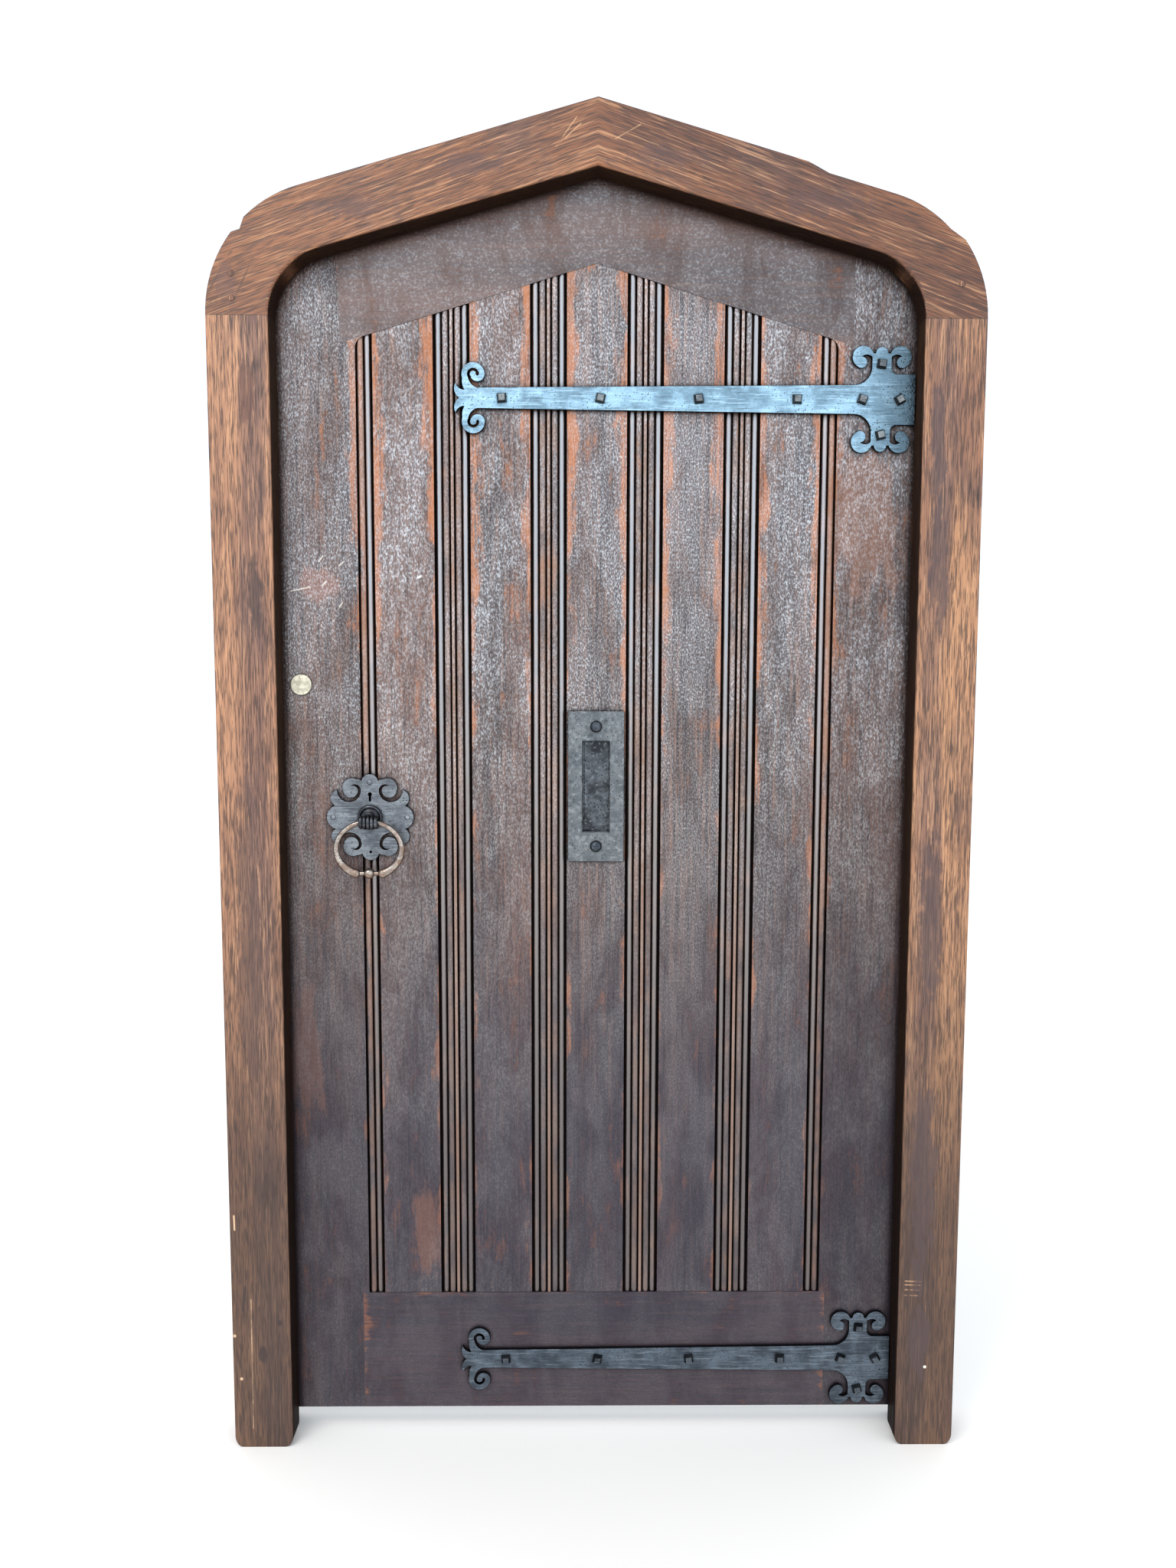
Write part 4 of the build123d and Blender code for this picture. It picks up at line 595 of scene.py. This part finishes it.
def brass(name, seed):
    """Pale worn brass."""
    s = Shader(name)
    cloud = s.noise((120, 120, 120), seed, 3.0)
    colour = s.mix(s.step(cloud, 0.35, 0.65), tint(182, 173, 150), tint(233, 224, 199))
    normal = s.bump(cloud, 0.2, 0.0006)
    return s.surface(colour, s.step(cloud, 0.3, 0.7, 0.36, 0.52), normal, 0.5)


def dress(material, *names):
    """Give CAD nodes one material."""
    for name in names:
        data = nodes[name].data
        data.materials.clear()
        data.materials.append(material)


def middle_of(name):
    """Middle of a node across the door."""
    low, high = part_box(name)
    return (low[0] + high[0]) / 2


dress(frame_oak("frame_left", "z", 11, (147, 102, 76), (192, 138, 101), left_jamb_marks), "jamb_left")
dress(frame_oak("frame_right", "z", 23, (138, 94, 70), (187, 134, 94), right_jamb_marks), "jamb_right")
dress(frame_oak("frame_head", "x", 41, (105, 63, 41), (143, 90, 56), head_marks), "head")
dress(frame_oak("frame_pegs", "z", 55, (110, 70, 49), (145, 96, 64)), "head_pegs")

lock_oak = leaf_oak("leaf_lock_stile", "z", 3, "stile", stile_edge, lock_marks, shine=0.82)
hinge_oak = leaf_oak("leaf_hinge_stile", "z", 20, "stile", stile_edge, stile_marks, shine=0.75)
dress(lock_oak, "lock_stile")
dress(hinge_oak, "hinge_stile")
dress(leaf_oak("leaf_top_rail", "x", 61, grain=0.35, shine=0.86), "top_rail")
dress(leaf_oak("leaf_bottom_rail", "x", 74, edge=rail_edge, grain=0.75, shine=1.3), "bottom_rail")
for number in range(1, 5):
    name = f"muntin_{number}"
    dress(leaf_oak("leaf_" + name, "z", 90 + 9 * number, moulding=middle_of(name)), name)
for number in range(1, 6):
    name = f"panel_{number}"
    marks = plug_marks if number == 1 else None
    edge = panel_edge(middle_of(name))
    dress(leaf_oak("leaf_" + name, "z", 140 + 8 * number, edge=edge, marks=marks), name)

# The top strap is coloured brighter and bluer as a painted reflection of the sky, and the bottom strap is
# its darker shaded copy.
sky_lit_iron = iron("iron_top_strap_sky_lit", 5, (115, 140, 153), (158, 189, 204), 0.9, 0.28, 0.55, hinge_shadow=(0.37, 0.475))
dress(sky_lit_iron, "top_strap")
dress(iron("iron_bottom_strap_shaded", 6, (68, 76, 85), (97, 108, 119), 0.85, 0.4, 0.4), "bottom_strap")
dress(iron("iron_bolts", 7, (92, 94, 96), (139, 142, 139), 0.8, 0.38), "top_strap_bolts")
dark_bolts = iron("iron_dark_bolts", 17, (55, 61, 68), (91, 97, 104), 0.8, 0.4)
dress(dark_bolts, "bottom_strap_bolts", "letter_studs")
dress(iron("iron_ring_plate", 8, (89, 92, 97), (128, 132, 136), 0.85, 0.36, 0.4), "ring_plate")
dress(iron("iron_boss", 18, (52, 52, 55), (91, 93, 98), 0.8, 0.34), "ring_boss")
dress(iron("iron_nails", 9, (110, 113, 117), (155, 156, 161), 0.8, 0.4), "ring_plate_nails")
ring_iron = iron("iron_ring", 10, (119, 109, 102), (185, 171, 159), 0.85, 0.28, 0.2, rust=(138, 113, 98))
dress(ring_iron, "drop_ring")
plate_iron = iron("iron_letter_plate", 12, (96, 100, 103), (120, 123, 124), 0.85, 0.38, 0.5, brushed=beaten)
dress(plate_iron, "letter_plate")
flap_iron = iron("iron_flap", 13, (44, 46, 49), (96, 100, 104), 0.8, 0.32, 1.0, brushed=beaten)
dress(flap_iron, "letter_flap", "flap_pin")
dress(brass("brass_cover", 14), "key_cover", "cover_pin")
black = iron("iron_lock", 15, (53, 53, 55), (78, 78, 84), 0.4, 0.5, side_shading=0.0)
dress(black, "lock_case", "lock_plate", "lock_keep", "lock_screws", "keep_screws", "inner_knob")
steel = iron("steel_fittings", 16, (145, 148, 153), (209, 212, 217), 0.8, 0.35, side_shading=0.0)
dress(steel, "spindle", "follower", "latch_bolt", "dead_bolt", "hinge_frame_screws", "hinge_leaf_screws")
dress(steel, "top_hinge_frame_plate", "bottom_hinge_frame_plate", "top_hinge_leaf_plate")
dress(steel, "bottom_hinge_leaf_plate", "top_hinge_pin", "bottom_hinge_pin")


def lay_floor():
    """A plain pale floor, not part of the door."""
    data = bpy.data.meshes.new("floor")
    corners = [(x * floor_span, y * floor_span, 0) for x, y in ((-1, -1), (1, -1), (1, 1), (-1, 1))]
    data.from_pydata(corners, [], [(0, 1, 2, 3)])
    floor = bpy.data.objects.new("floor", data)
    bpy.context.scene.collection.objects.link(floor)
    s = Shader("floor_paint")
    dust = s.noise((3, 3, 3), 1, 2.0)
    colour = s.mix(dust, tint(252, 246, 238), tint(255, 249, 241))
    data.materials.append(s.surface(colour, 0.9, specular=0.1))


def light_sky():
    """Bright soft sky in front of the door, dimmer at the sides and behind it."""
    world = bpy.data.worlds.new("studio")
    bpy.context.scene.world = world
    world.use_nodes = True
    tree = world.node_tree
    tree.nodes.clear()
    coord = tree.nodes.new("ShaderNodeTexCoord")
    axes = tree.nodes.new("ShaderNodeSeparateXYZ")
    tree.links.new(coord.outputs["Generated"], axes.inputs[0])
    rise = tree.nodes.new("ShaderNodeMapRange")
    rise.inputs["From Min"].default_value, rise.inputs["From Max"].default_value = sky_rise
    tree.links.new(axes.outputs[2], rise.inputs["Value"])
    sky = tree.nodes.new("ShaderNodeValToRGB")
    stops = sky.color_ramp.elements
    stops[0].position, stops[0].color = sky_stops[0]
    stops[1].position, stops[1].color = sky_stops[-1]
    for place, colour in sky_stops[1:-1]:
        stops.new(place).color = colour
    tree.links.new(rise.outputs[0], sky.inputs[0])
    ahead = tree.nodes.new("ShaderNodeMapRange")
    ahead.interpolation_type = "SMOOTHSTEP"
    ahead.inputs["From Min"].default_value, ahead.inputs["From Max"].default_value = sky_turn
    ahead.inputs["To Min"].default_value, ahead.inputs["To Max"].default_value = sky_strength
    tree.links.new(axes.outputs[1], ahead.inputs["Value"])
    soft = tree.nodes.new("ShaderNodeBackground")
    tree.links.new(ahead.outputs[0], soft.inputs["Strength"])
    tree.links.new(sky.outputs[0], soft.inputs["Color"])
    out = tree.nodes.new("ShaderNodeOutputWorld")
    tree.links.new(soft.outputs[0], out.inputs["Surface"])


def hang_lamp():
    """One large soft lamp, high in front of the door and to its left."""
    lamp = bpy.data.lights.new("key", "AREA")
    lamp.shape = "RECTANGLE"
    lamp.size, lamp.size_y = lamp_sides
    lamp.energy = lamp_watts
    lamp.color = lamp_colour
    key = bpy.data.objects.new("key", lamp)
    key.location = lamp_place
    aim = Vector(lamp_target) - key.location
    key.rotation_euler = aim.to_track_quat("-Z", "Y").to_euler()
    bpy.context.scene.collection.objects.link(key)


def set_camera():
    """The photograph's viewpoint."""
    pitch, yaw, roll = (math.radians(angle) for angle in camera_degrees)
    ahead = Vector((math.sin(yaw) * math.cos(pitch), math.cos(yaw) * math.cos(pitch), -math.sin(pitch)))
    right = Vector((math.cos(yaw), -math.sin(yaw), 0))
    down = ahead.cross(right)
    across = math.cos(roll) * right + math.sin(roll) * down
    below = -math.sin(roll) * right + math.cos(roll) * down
    turn = Matrix((across, -below, -ahead)).transposed().to_4x4()
    lens = bpy.data.cameras.new("view")
    lens.sensor_width = sensor_width
    lens.lens = focal_length
    view = bpy.data.objects.new("view", lens)
    view.matrix_world = Matrix.Translation(camera_place) @ turn
    bpy.context.scene.collection.objects.link(view)
    bpy.context.scene.camera = view


lay_floor()
light_sky()
hang_lamp()
set_camera()
bpy.context.scene.view_settings.view_transform = "Standard"
